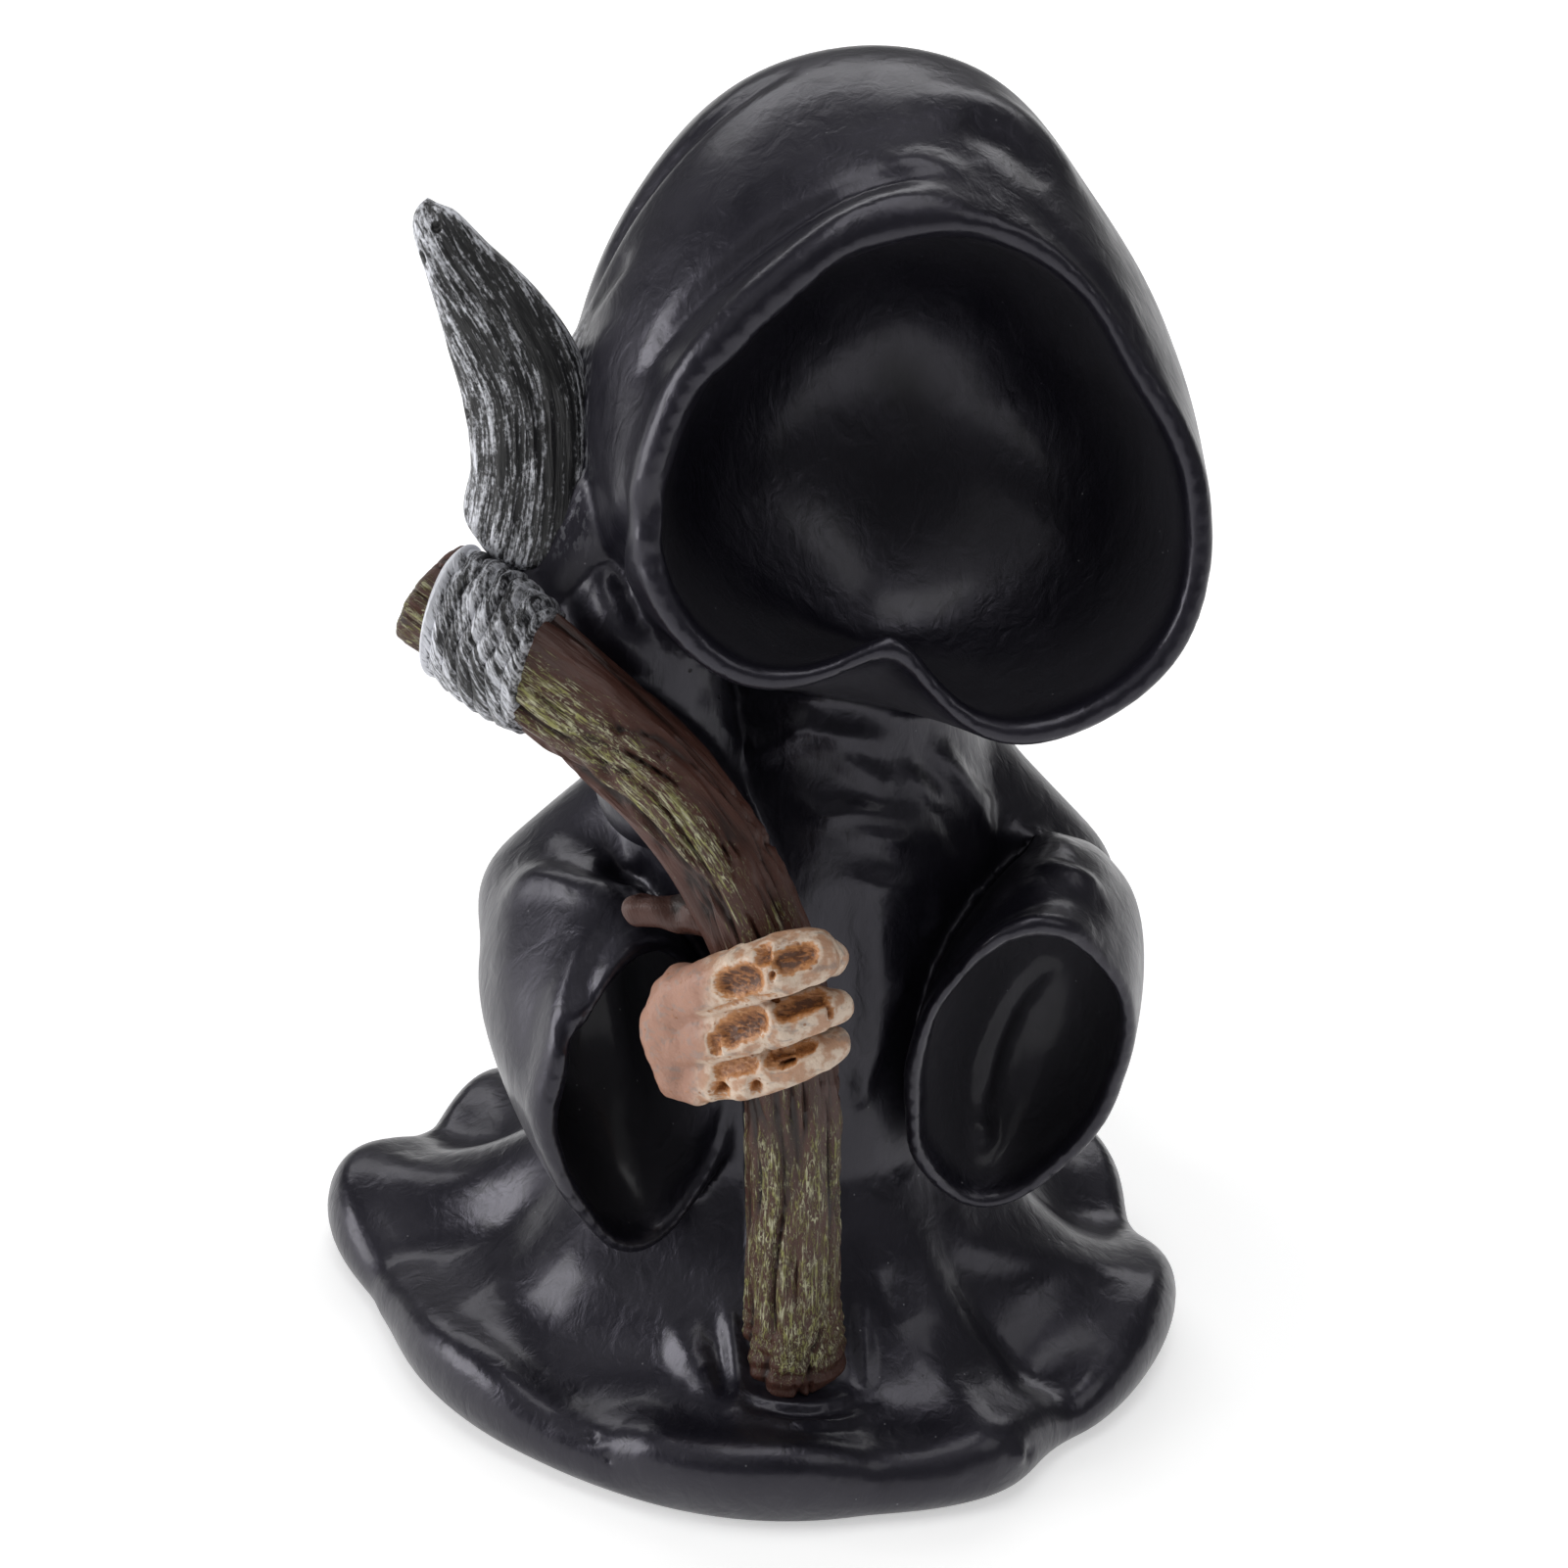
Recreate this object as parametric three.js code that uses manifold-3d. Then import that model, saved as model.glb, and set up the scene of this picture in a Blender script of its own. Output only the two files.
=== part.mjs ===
import * as THREE from 'three';
import { mergeVertices } from 'three/addons/utils/BufferGeometryUtils.js';
import Module from 'manifold-3d';

// A small hooded reaper figurine, cast in one piece of resin and painted.
// Millimetres, +Z up. The figure faces -Y and stands on its flat underside.

// Robe: hem radius, thickness of the hem between its rolls, where the skirt starts to flare and how
// hollow that flare is, and how far the torso is set back and broader than it is deep.
const HEM_RADIUS = 40.4;
const HEM_THICKNESS = 5;
const HEM_ROUNDING = 3;
const WAIST_RADIUS = 16;
const WAIST_HEIGHT = 26;
const SKIRT_HOLLOW = 2.4;
const ROBE_SETBACK = -4.5;
const TORSO_BREADTH = 0.12;
// Radius and height of the torso, from inside the hood down to the waist.
const TORSO = [[0, 82], [10, 79], [13.5, 68], [16.5, 58], [17, 47], [16, 36], [WAIST_RADIUS, WAIST_HEIGHT]];
// Rolls of cloth round the hem: bearing and half width in degrees, how far they lift and reach out.
const ROLLS = [
  { at: 169, half: 16, lift: 4.5, reach: 4.4 },
  { at: -148, half: 24, lift: 3.5, reach: 0.9 },
  { at: -102, half: 22, lift: 4, reach: 1.4 },
  { at: -67, half: 14, lift: 3, reach: 1.9 },
  { at: -25, half: 25, lift: 4.5, reach: 1.3 },
  { at: 17, half: 19, lift: 3.8, reach: -1.6 },
  { at: 52, half: 18, lift: 3.5, reach: 0.6 },
  { at: 83, half: 17, lift: 3, reach: 0.4 },
  { at: 112, half: 15, lift: 3.5, reach: 0.2 },
  { at: 140, half: 14, lift: 3.2, reach: -1.8 },
];
const ROLL_FULLNESS = 0.8;
// Where two rolls meet, the hem is drawn in: bearing, half width and depth.
const NOTCHES = [
  { at: 154, half: 9, depth: 1.6 },
  { at: -164, half: 6, depth: 0.3 },
  { at: -54, half: 6, depth: 1 },
  { at: 0, half: 9, depth: 2.2 },
];

// Hood: middle of its opening, tilt back and lean of that plane in degrees, and from there back the
// depths of the widest place, of the whole hood and of its hollow; then the thickness of its lip.
const HOOD_FRONT = [5, -25, 104];
const HOOD_TILT = 14;
const HOOD_LEAN = 8;
const HOOD_WIDEST = 20;
const HOOD_DEPTH = 46;
const HOOD_HOLLOW = 24;
const HOOD_LIP = 2.4;
const HOOD_SWELL = 1.8;
// Radii of the opening and of the hood at its widest, every 30 degrees from the figure's left.
const HOOD_OPENING = [21.8, 17.8, 18.2, 18.9, 18.9, 19.6, 21.9, 25.2, 25.2, 27, 25.9, 25.9];
const HOOD_OUTLINE = [26.2, 24.6, 26, 31.8, 33.1, 31.1, 30, 29, 28, 26.5, 28.3, 27.2];
// The collar stands up in a rounded point at the bottom of the opening.
const COLLAR = { at: -93, rise: 11, width: 20 };
// Crease in the cloth behind the lip, deepest at one bearing and fading out either way.
const HOOD_CREASE = { behind: 9.5, width: 1.7, depth: 1.1, at: 130, reach: 75 };

// How far a lip's crown stands out from its edges, and how full a hollow or a sleeve is.
const LIP_CROWN = 1;
const BOWL_FULLNESS = 0.8;

// Sleeves: middle of the cuff, the way it faces, the elbow behind it, and the cuff's radii.
const GRIP_SLEEVE = {
  cuff: [-17, -22, 37],
  faces: [0.42, -0.9, 0.05],
  elbow: [-26.9, 0, 43.6],
  radii: [11, 12, 13.4, 17.2, 13.8, 11.2, 11, 11.2, 13.2, 17.4, 14.5, 12],
  hollow: 15,
  lip: 2.4,
};
const FREE_SLEEVE = {
  cuff: [16.5, -26, 41],
  faces: [0, -0.97, -0.2],
  elbow: [24, -6, 47],
  radii: [11.2, 13, 16.5, 20, 14.8, 11, 9.8, 10.5, 14, 17.6, 14, 11.8],
  hollow: 15,
  lip: 2.4,
};
const UPPER_ARMS = [
  { from: [-6, -2, 63], to: [-23.2, -2, 45.5], start: 8, end: 8.2 },
  { from: [6.5, -3, 63], to: [21.3, -9, 48], start: 9.5, end: 9.2 },
];
// Cloth of the hood that falls behind the neck onto the back.
const NAPE = { from: [2, 7.5, 79], to: [0.5, 3.5, 60], start: 12, end: 12.5 };

// Scythe shaft: its middle line from the foot up to the cut end, and its radius.
const SHAFT_LINE = [
  [-0.4, -27.8, 8], [-2.6, -29, 27], [-4.6, -30.6, 42.4], [-7.3, -31.2, 55.5], [-11.2, -30, 65.2],
  [-16, -27.6, 72.2], [-21.6, -24.1, 76.9], [-28, -19.4, 80.4], [-33, -15.5, 82.5], [-38, -11.9, 84.8],
];
const SHAFT_RADIUS = 4.5;
const SHAFT_END_SWELL = 0.8;
// Three flats run up the shaft, turning as they go.
const SHAFT_FLATS = { count: 3, depth: 0.05, twist: 14 };
const SOCKET = { from: 0.83, to: 0.945, radius: 6.3, swell: 0.9 };
// Resin behind the shaft: the stretch of shaft, half its thickness and how far back it reaches.
const FIN = { from: 0.04, to: 0.78, half: 3.4, back: 21 };
// Stub of a side branch, just above the hand.
const STUB = { from: [-11, -29.5, 61], to: [-17.6, -25.5, 58.8], radius: 2.1 };

// Blade: the middle of its face, the way that faces, its middle line and half widths in that face.
const BLADE = {
  middle: [-31, -9, 98],
  faces: [-0.1, -0.97, 0.2],
  line: [[1.2, -12.9], [2, -8], [2.4, -2], [1.7, 4.7], [-1, 10.3], [-4.5, 15.6], [-6.9, 19.4], [-7.4, 21.2]],
  halfWidths: [0, 4.6, 5.1, 5.6, 4.8, 3.1, 1.9, 0],
  thickness: 5,
  fullThicknessAt: 3,
};

// Resin between the blade, the socket, the shoulder and the hood.
const WEBS = [
  { from: [-15, -13, 66], to: [-19, -13, 82], start: 7, end: 7 },
  { from: [-21, -17, 77], to: [-31, -12, 84], start: 4.5, end: 3.4 },
  { from: [-27, -11, 84], to: [-22, -8, 92], start: 4, end: 6 },
  { from: [-24, -8, 90], to: [-23, -5, 103], start: 4.6, end: 3.6 },
];

// Hand: the first finger's bone ends, from the back of the hand to the fingertip. The others follow
// below it, a pitch apart; each starts a little further in, and the last is thinner.
const FINGER = { radius: 2.6, pitch: 5, last: 0.8, tuck: [1.2, 0.8, 1, 4] };
const HAND_BACK = [-17, -28.5, 53.4];
const KNUCKLE = [-12.9, -33.4, 57.4];
const MIDDLE_JOINT = [-8.6, -36.6, 61.4];
const END_JOINT = [-3.5, -36.9, 63.4];
const FINGERTIP = [-2, -34.8, 61.8];

// Middle of the figure's outline seen from above, which becomes the origin.
const OUTLINE_MIDDLE = [-2.015, -0.368];

const wasm = await Module();
wasm.setup();

const radians = THREE.MathUtils.degToRad;
const point = (place) => new THREE.Vector3(...place);

// A closed surface: a sphere's grid with every point moved to place(turn, rise), both from 0 to 1.
function shaped(around, along, place) {
  const geometry = new THREE.SphereGeometry(1, around, along);
  geometry.deleteAttribute('normal');
  geometry.deleteAttribute('uv');
  const spots = geometry.attributes.position;
  for (let i = 0; i < spots.count; i += 1) {
    const row = Math.floor(i / (around + 1));
    const column = i % (around + 1) % around;
    const pole = row === 0 || row === along;
    const spot = place(pole ? 0 : column / around, row / along);
    spots.setXYZ(i, spot.x, spot.y, spot.z);
  }
  return outward(mergeVertices(geometry, 1e-4));
}

// Turns the faces over if they point in.
function outward(geometry) {
  const spots = geometry.attributes.position;
  const corners = geometry.index.array;
  const [a, b, c] = [new THREE.Vector3(), new THREE.Vector3(), new THREE.Vector3()];
  let volume = 0;
  for (let i = 0; i < corners.length; i += 3) {
    a.fromBufferAttribute(spots, corners[i]);
    b.fromBufferAttribute(spots, corners[i + 1]);
    c.fromBufferAttribute(spots, corners[i + 2]);
    volume += a.dot(b.cross(c));
  }
  if (volume < 0) corners.reverse();
  return geometry;
}

function solid(geometry) {
  const vertProperties = Float32Array.from(geometry.attributes.position.array);
  const triVerts = Uint32Array.from(geometry.index.array);
  return new wasm.Manifold(new wasm.Mesh({ numProp: 3, vertProperties, triVerts }));
}

// A smooth closed run through values set at even steps of a full turn.
function roundTheTurn(values, angle) {
  const step = (((angle / (2 * Math.PI)) % 1) + 1) % 1 * values.length;
  const i = Math.floor(step);
  const t = step - i;
  const [p, q, r, s] = [-1, 0, 1, 2].map((k) => values[(i + k + values.length) % values.length]);
  return q + 0.5 * t * (r - p + t * (2 * p - 5 * q + 4 * r - s + t * (3 * (q - r) + s - p)));
}

const bell = (x, width) => Math.exp(-((x / width) ** 2));

// How far a bearing lies from another, in degrees either way.
const apart = (a, b) => ((a - b + 540) % 360) - 180;

// The height that the rolls add at a bearing, and how far they push the hem out.
function rolls(bearing, what) {
  return ROLLS.reduce((sum, roll) => {
    const off = Math.min(Math.abs(apart(bearing, roll.at)) / roll.half, 1);
    return sum + roll[what] * Math.cos(off * Math.PI / 2) ** ROLL_FULLNESS;
  }, 0);
}

function notches(bearing) {
  return NOTCHES.reduce((sum, notch) => sum + notch.depth * bell(apart(bearing, notch.at), notch.half), 0);
}

// Robe from the neck down, flared to a rolled hem with a flat underside.
function robe() {
  const around = 60;
  const [torsoRows, skirtRows, hemRows, soleRows] = [5, 7, 5, 2];
  const along = torsoRows + skirtRows + hemRows + soleRows;
  const torso = new THREE.SplineCurve(TORSO.map(([r, z]) => new THREE.Vector2(r, z)));
  return shaped(around, along, (turn, rise) => {
    const bearing = turn * 360;
    const row = Math.round(rise * along);
    const top = HEM_THICKNESS + rolls(bearing, 'lift');
    const edge = HEM_RADIUS + rolls(bearing, 'reach') - notches(bearing);
    let [radius, height, upper] = [0, 0, 0];
    if (row <= torsoRows) {
      const spot = torso.getPoint(row / torsoRows);
      [radius, height, upper] = [spot.x, spot.y, 1];
    } else if (row <= torsoRows + skirtRows) {
      const out = (row - torsoRows) / skirtRows;
      radius = WAIST_RADIUS + (edge - HEM_ROUNDING - WAIST_RADIUS) * out;
      height = top + (WAIST_HEIGHT - top) * (1 - out) ** SKIRT_HOLLOW;
      upper = 1 - out;
    } else if (row <= torsoRows + skirtRows + hemRows) {
      const bend = (row - torsoRows - skirtRows) / hemRows * Math.PI;
      radius = edge - HEM_ROUNDING + HEM_ROUNDING * Math.sin(bend);
      height = top / 2 * (1 + Math.cos(bend));
    } else {
      radius = (edge - HEM_ROUNDING) * (along - row) / soleRows;
    }
    const angle = radians(bearing);
    const across = radius * Math.cos(angle) * (1 + TORSO_BREADTH * upper);
    return new THREE.Vector3(across, radius * Math.sin(angle) + ROBE_SETBACK * upper, height);
  });
}

// Right, up and facing directions of an opening.
function facing(direction, lean = 0) {
  const out = point(direction).normalize();
  const right = new THREE.Vector3().crossVectors(new THREE.Vector3(0, 0, 1), out).normalize();
  const up = new THREE.Vector3().crossVectors(out, right);
  const tilt = new THREE.Quaternion().setFromAxisAngle(out, lean);
  return [right.applyQuaternion(tilt), up.applyQuaternion(tilt), out];
}

// Hood: a deep cup of cloth with a rolled lip, widest some way behind its opening.
function hood() {
  const around = 38;
  const [backRows, frontRows, lipRows, hollowRows] = [6, 7, 2, 5];
  const along = backRows + frontRows + lipRows + hollowRows;
  const tilt = radians(HOOD_TILT);
  const [right, up, out] = facing([0, -Math.cos(tilt), Math.sin(tilt)], -radians(HOOD_LEAN));
  return shaped(around, along, (turn, rise) => {
    const angle = turn * 2 * Math.PI;
    const bearing = turn * 360;
    const row = Math.round(rise * along);
    const collar = COLLAR.rise * bell(apart(bearing, COLLAR.at), COLLAR.width);
    const opening = roundTheTurn(HOOD_OPENING, angle) - collar;
    const outline = roundTheTurn(HOOD_OUTLINE, angle);
    let [radius, depth] = [0, 0];
    if (row <= backRows) {
      const bend = row / backRows * Math.PI / 2;
      radius = outline * Math.sin(bend);
      depth = HOOD_WIDEST + (HOOD_DEPTH - HOOD_WIDEST) * Math.cos(bend);
    } else if (row <= backRows + frontRows) {
      const near = (row - backRows) / frontRows;
      depth = LIP_CROWN + (HOOD_WIDEST - LIP_CROWN) * (1 - near);
      radius = outline - (outline - opening - HOOD_LIP) * near ** HOOD_SWELL;
      const fade = bell(apart(bearing, HOOD_CREASE.at), HOOD_CREASE.reach);
      radius -= HOOD_CREASE.depth * fade * bell(depth - HOOD_CREASE.behind, HOOD_CREASE.width);
    } else if (row < backRows + frontRows + lipRows) {
      [radius, depth] = [opening + HOOD_LIP / 2, 0];
    } else {
      const bend = (row - backRows - frontRows - lipRows) / hollowRows * Math.PI / 2;
      radius = opening * Math.cos(bend) ** BOWL_FULLNESS;
      depth = LIP_CROWN + (HOOD_HOLLOW - LIP_CROWN) * Math.sin(bend);
    }
    if (row === along) radius = 0;
    return point(HOOD_FRONT)
      .addScaledVector(right, radius * Math.cos(angle))
      .addScaledVector(up, radius * Math.sin(angle))
      .addScaledVector(out, -depth);
  });
}

// Sleeve: an open bell from the elbow out to its cuff, hollow inside.
function sleeve({ cuff, faces, elbow, radii, hollow, lip }) {
  const around = 24;
  const [outerRows, lipRows, hollowRows] = [7, 2, 4];
  const along = outerRows + lipRows + hollowRows;
  const [right, up, out] = facing(faces);
  const middle = point(cuff);
  const back = point(elbow).sub(middle);
  const inward = back.clone().normalize();
  return shaped(around, along, (turn, rise) => {
    const angle = turn * 2 * Math.PI;
    const row = Math.round(rise * along);
    const edge = roundTheTurn(radii, angle);
    const spot = middle.clone();
    let radius = 0;
    if (row <= outerRows) {
      const bend = row / outerRows * Math.PI / 2;
      radius = edge * Math.sin(bend) ** BOWL_FULLNESS;
      spot.addScaledVector(back, Math.cos(bend));
    } else if (row < outerRows + lipRows) {
      radius = edge - lip / 2;
      spot.addScaledVector(out, LIP_CROWN);
    } else {
      const bend = (row - outerRows - lipRows) / hollowRows * Math.PI / 2;
      radius = (edge - lip) * Math.cos(bend) ** BOWL_FULLNESS;
      spot.addScaledVector(inward, hollow * Math.sin(bend));
    }
    if (row === along) radius = 0;
    return spot
      .addScaledVector(right, radius * Math.cos(angle))
      .addScaledVector(up, radius * Math.sin(angle));
  });
}

// A rod with round ends, from one point to another, thicker or thinner at its end.
function limb({ from, to, start, end }, around = 14, capRows = 3) {
  const first = point(from);
  const axis = point(to).sub(first);
  const length = axis.length();
  const [right, up, out] = facing(axis.toArray());
  const along = 2 * capRows + 1;
  return shaped(around, along, (turn, rise) => {
    const row = Math.round(rise * along);
    const nearStart = row <= capRows;
    const bend = (nearStart ? row : along - row) / capRows * Math.PI / 2;
    const size = nearStart ? start : end;
    const place = nearStart ? -size * Math.cos(bend) : length + size * Math.cos(bend);
    const angle = turn * 2 * Math.PI;
    return first.clone()
      .addScaledVector(out, place)
      .addScaledVector(right, size * Math.sin(bend) * Math.cos(angle))
      .addScaledVector(up, size * Math.sin(bend) * Math.sin(angle));
  });
}

const shaftCurve = new THREE.CatmullRomCurve3(SHAFT_LINE.map(point));

// A stretch of the shaft, or of what is wrapped round it.
function alongShaft(from, to, rows, around, radiusAt) {
  const frontWays = new THREE.Vector3(0, -1, 0);
  return shaped(around, rows + 2, (turn, rise) => {
    const row = Math.round(rise * (rows + 2));
    const place = THREE.MathUtils.clamp((row - 1) / rows, 0, 1);
    const t = from + (to - from) * place;
    const way = shaftCurve.getTangentAt(t);
    const side = new THREE.Vector3().crossVectors(way, frontWays).normalize();
    const front = new THREE.Vector3().crossVectors(side, way);
    const angle = turn * 2 * Math.PI;
    const end = row === 0 || row === rows + 2;
    const radius = end ? 0 : radiusAt(angle, place);
    return shaftCurve.getPointAt(t)
      .addScaledVector(side, radius * Math.cos(angle))
      .addScaledVector(front, radius * Math.sin(angle));
  });
}

function shaft() {
  return alongShaft(0, 1, 20, 10, (angle, place) => {
    const radius = SHAFT_RADIUS + SHAFT_END_SWELL * place ** 4;
    const flat = SHAFT_FLATS.depth * Math.cos(SHAFT_FLATS.count * angle + SHAFT_FLATS.twist * place);
    return radius * (1 + flat);
  });
}

function socket() {
  return alongShaft(SOCKET.from, SOCKET.to, 4, 12, (angle, place) => {
    return SOCKET.radius - SOCKET.swell * (1 - Math.sin(Math.PI * place));
  });
}

// Blade: a thick leaf with a rounded butt, a hollow front edge and a point.
function blade() {
  const [right, up, out] = facing(BLADE.faces);
  const line = new THREE.SplineCurve(BLADE.line.map(([x, y]) => new THREE.Vector2(x, y)));
  const widths = new THREE.SplineCurve(BLADE.halfWidths.map((w, i) => new THREE.Vector2(i, w)));
  return shaped(12, 14, (turn, rise) => {
    const angle = turn * 2 * Math.PI;
    const spot = line.getPoint(rise);
    const way = line.getTangent(rise);
    const half = Math.max(widths.getPoint(rise).y, 0);
    const across = half * Math.cos(angle);
    const thick = BLADE.thickness / 2 * Math.sin(angle) * Math.min(1, half / BLADE.fullThicknessAt);
    const pole = rise === 0 || rise === 1;
    return point(BLADE.middle)
      .addScaledVector(right, spot.x + (pole ? 0 : across * way.y))
      .addScaledVector(up, spot.y - (pole ? 0 : across * way.x))
      .addScaledVector(out, pole ? 0 : thick);
  });
}

// Hand: four fingers closed round the shaft, each with three bones and one in the back of the hand.
function hand() {
  const bones = [];
  FINGER.tuck.forEach((tuck, i) => {
    const last = i === FINGER.tuck.length - 1;
    const reach = [HAND_BACK, KNUCKLE, MIDDLE_JOINT, END_JOINT, FINGERTIP].slice(0, last ? 4 : 5);
    const joints = reach.map((joint) => point(joint).add(new THREE.Vector3(0, 0, -FINGER.pitch * i)));
    joints[0].x += tuck;
    const size = FINGER.radius * (last ? FINGER.last : 1);
    for (let k = 0; k + 1 < joints.length; k += 1) {
      bones.push(limb({ from: joints[k], to: joints[k + 1], start: size, end: size }, 8, 2));
    }
  });
  return bones;
}

// Resin that fills in behind the shaft, back to the robe, where the mould could not reach.
function fin() {
  return alongShaft(FIN.from, FIN.to, 12, 10, (angle) => {
    const back = Math.sin(angle) < 0 ? FIN.back : FIN.half;
    return FIN.half * back / Math.hypot(back * Math.cos(angle), FIN.half * Math.sin(angle));
  });
}

function figurine() {
  const lumps = [robe(), hood(), sleeve(GRIP_SLEEVE), sleeve(FREE_SLEEVE)];
  lumps.push(...UPPER_ARMS.map((arm) => limb(arm)), limb(NAPE, 24, 5));
  lumps.push(...WEBS.map((web) => limb(web, 8, 2)));
  lumps.push(shaft(), fin(), socket(), blade(), ...hand());
  lumps.push(limb({ from: STUB.from, to: STUB.to, start: STUB.radius, end: STUB.radius }, 8, 2));
  const whole = lumps.map(solid).reduce((sum, lump) => sum.add(lump));
  const { vertProperties, triVerts } = whole.getMesh();
  const geometry = new THREE.BufferGeometry();
  geometry.setAttribute('position', new THREE.BufferAttribute(vertProperties, 3));
  geometry.setIndex(new THREE.BufferAttribute(triVerts, 1));
  return geometry.translate(...OUTLINE_MIDDLE.map((value) => -value), 0);
}

const blackResin = new THREE.MeshStandardMaterial({ color: 0x17171a, roughness: 0.28, metalness: 0 });
const mesh = new THREE.Mesh(figurine(), blackResin);
mesh.name = 'figurine';
const group = new THREE.Group();
group.add(mesh);

export default group;
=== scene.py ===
import math

import bpy
import numpy as np
from mathutils import Matrix, Vector, kdtree
from mathutils.bvhtree import BVHTree


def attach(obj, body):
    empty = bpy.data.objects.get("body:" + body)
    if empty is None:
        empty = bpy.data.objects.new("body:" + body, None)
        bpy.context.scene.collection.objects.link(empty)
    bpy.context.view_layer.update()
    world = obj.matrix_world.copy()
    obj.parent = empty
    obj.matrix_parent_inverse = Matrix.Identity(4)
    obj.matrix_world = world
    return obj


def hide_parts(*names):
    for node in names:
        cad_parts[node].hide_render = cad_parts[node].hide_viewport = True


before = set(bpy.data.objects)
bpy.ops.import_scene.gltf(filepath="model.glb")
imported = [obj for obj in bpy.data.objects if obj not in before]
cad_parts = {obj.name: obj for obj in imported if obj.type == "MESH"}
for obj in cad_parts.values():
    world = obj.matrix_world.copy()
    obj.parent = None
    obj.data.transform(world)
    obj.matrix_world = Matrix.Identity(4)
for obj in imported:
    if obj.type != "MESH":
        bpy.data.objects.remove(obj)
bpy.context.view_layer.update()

# The robe from the neck down. It is part of one pour of polyresin in a rubber mould, with its
# underside ground flat. The cloth hangs from a narrow waist and spreads into rolls round the hem.
# Sizes are in millimetres, with the figure facing -Y, and the finished casting is scaled to metres.
HEM_RADIUS = 40.4
HEM_THICKNESS = 5
HEM_ROUNDING = 3
WAIST_RADIUS = 16
WAIST_HEIGHT = 26
SKIRT_HOLLOW = 2.4
ROBE_SETBACK = -4.5
TORSO_BREADTH = 0.12
TORSO = [(0, 82), (10, 79), (13.5, 68), (16.5, 58), (17, 47), (16, 36), (WAIST_RADIUS, WAIST_HEIGHT)]
# Rolls round the hem: bearing and half width in degrees, lift and reach.
ROLLS = [
    (169, 20, 4.5, 4.4), (-148, 30, 3.6, 0.9), (-101, 31, 4, 1.4), (-66, 18, 3, 1.9),
    (-25, 27, 4.5, 1.3), (17, 21, 3.8, -1.6), (52, 20, 3.5, 0.6), (83, 19, 3, 0.4),
    (112, 17, 3.5, 0.2), (140, 15, 3.2, -1.8),
]
ROLL_CROWN = 1.35
# Behind, soft folds hang from the shoulders to the skirt: how many to a full turn, and their height.
BACK_FOLDS = (9, 1.2)
# Where two rolls meet the hem is drawn in: bearing, half width and depth.
NOTCHES = [(154, 9, 1.6), (-164, 6, 0.3), (-54, 6, 1), (0, 9, 2.2)]
# Folds and creases: height in mm (below zero for a crease), half width in mm, and the places that they run
# through, as pixels of the photo's 1601 by 1601 frame. On the chest they gather under the collar.
CHEST_FOLDS = [
    (0.8, 1.3, [(735, 742), (775, 765), (812, 745), (832, 722)]),
    (0.6, 1, [(820, 745), (845, 748), (873, 752), (899, 760)]),
    (0.6, 1.2, [(858, 768), (880, 786), (910, 806)]),
    (0.7, 1, [(822, 818), (842, 832), (870, 828), (898, 832), (930, 840)]),
    (0.6, 1, [(868, 847), (900, 855), (928, 860)]),
    (0.6, 0.9, [(927, 787), (945, 805), (965, 826)]),
    (0.9, 1.2, [(957, 765), (985, 800), (1013, 857)]),
    (0.5, 0.8, [(998, 808), (1014, 824)]),
    (-0.5, 1.3, [(940, 770), (960, 822), (985, 872)]),
    (1, 1.3, [(1034, 853), (1060, 858), (1088, 872)]),
    (0.8, 1, [(1060, 885), (1092, 892), (1120, 907)]),
    (0.6, 0.8, [(951, 922), (960, 938), (943, 957)]),
    (0.6, 1.3, [(869, 899), (902, 906), (936, 911)]),
    (0.5, 1, [(925, 985), (915, 1020)]),
    (0.5, 1, [(884, 1090), (880, 1130)]),
    (-0.7, 3, [(858, 905), (862, 960), (866, 1020), (860, 1090)]),
    (0.6, 2, [(893, 935), (901, 1000), (896, 1060), (884, 1105)]),
]
# On the skirt they run down from the waist to the hem.
SKIRT_FOLDS = [
    (0.5, 2.3, [(385, 1330), (424, 1297), (460, 1285), (502, 1278)]),
    (0.7, 2.8, [(456, 1356), (500, 1385), (532, 1415), (568, 1442)]),
    (-0.4, 2, [(410, 1166), (450, 1182), (500, 1180)]),
    (1, 4, [(560, 1268), (600, 1300), (650, 1330), (694, 1350)]),
    (-0.8, 4, [(484, 1320), (530, 1360), (580, 1405)]),
    (-0.5, 0.5, [(604, 1467)]), (-0.5, 0.4, [(621, 1490)]),
    (0.9, 3.2, [(640, 1452), (690, 1486), (755, 1495), (820, 1487), (886, 1476)]),
    (0.7, 1.9, [(684, 1346), (702, 1376), (716, 1400)]),
    (0.8, 1.5, [(714, 1396), (730, 1422), (748, 1448)]),
    (1, 1.1, [(744, 1340), (750, 1395), (754, 1448)]),
    (-0.7, 1.1, [(730, 1350), (738, 1400), (746, 1430)]),
    (0.9, 0.9, [(762, 1422), (790, 1436), (830, 1438), (872, 1426)]),
    (0.8, 0.9, [(768, 1446), (810, 1456), (850, 1454), (892, 1440)]),
    (-0.6, 0.7, [(772, 1436), (815, 1447), (860, 1444)]),
    (0.6, 0.9, [(878, 1330), (882, 1380), (884, 1418)]),
    (0.5, 2.5, [(634, 1434), (660, 1460), (686, 1484)]),
    (0.8, 1.9, [(968, 1232), (980, 1256), (996, 1272), (1060, 1284), (1146, 1296)]),
    (0.7, 2.4, [(944, 1280), (960, 1320), (981, 1350), (1008, 1388), (1036, 1423), (1082, 1470)]),
    (0.5, 2.3, [(891, 1296), (902, 1325), (914, 1354)]),
    (0.7, 3.4, [(916, 1366), (950, 1400), (985, 1435), (1012, 1472)]),
    (-0.4, 2.4, [(1118, 1402), (1150, 1362), (1166, 1338)]),
    (-0.6, 0.6, [(1052, 1485)]),
    (0.5, 0.8, [(1042, 1486)]),
]
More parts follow.
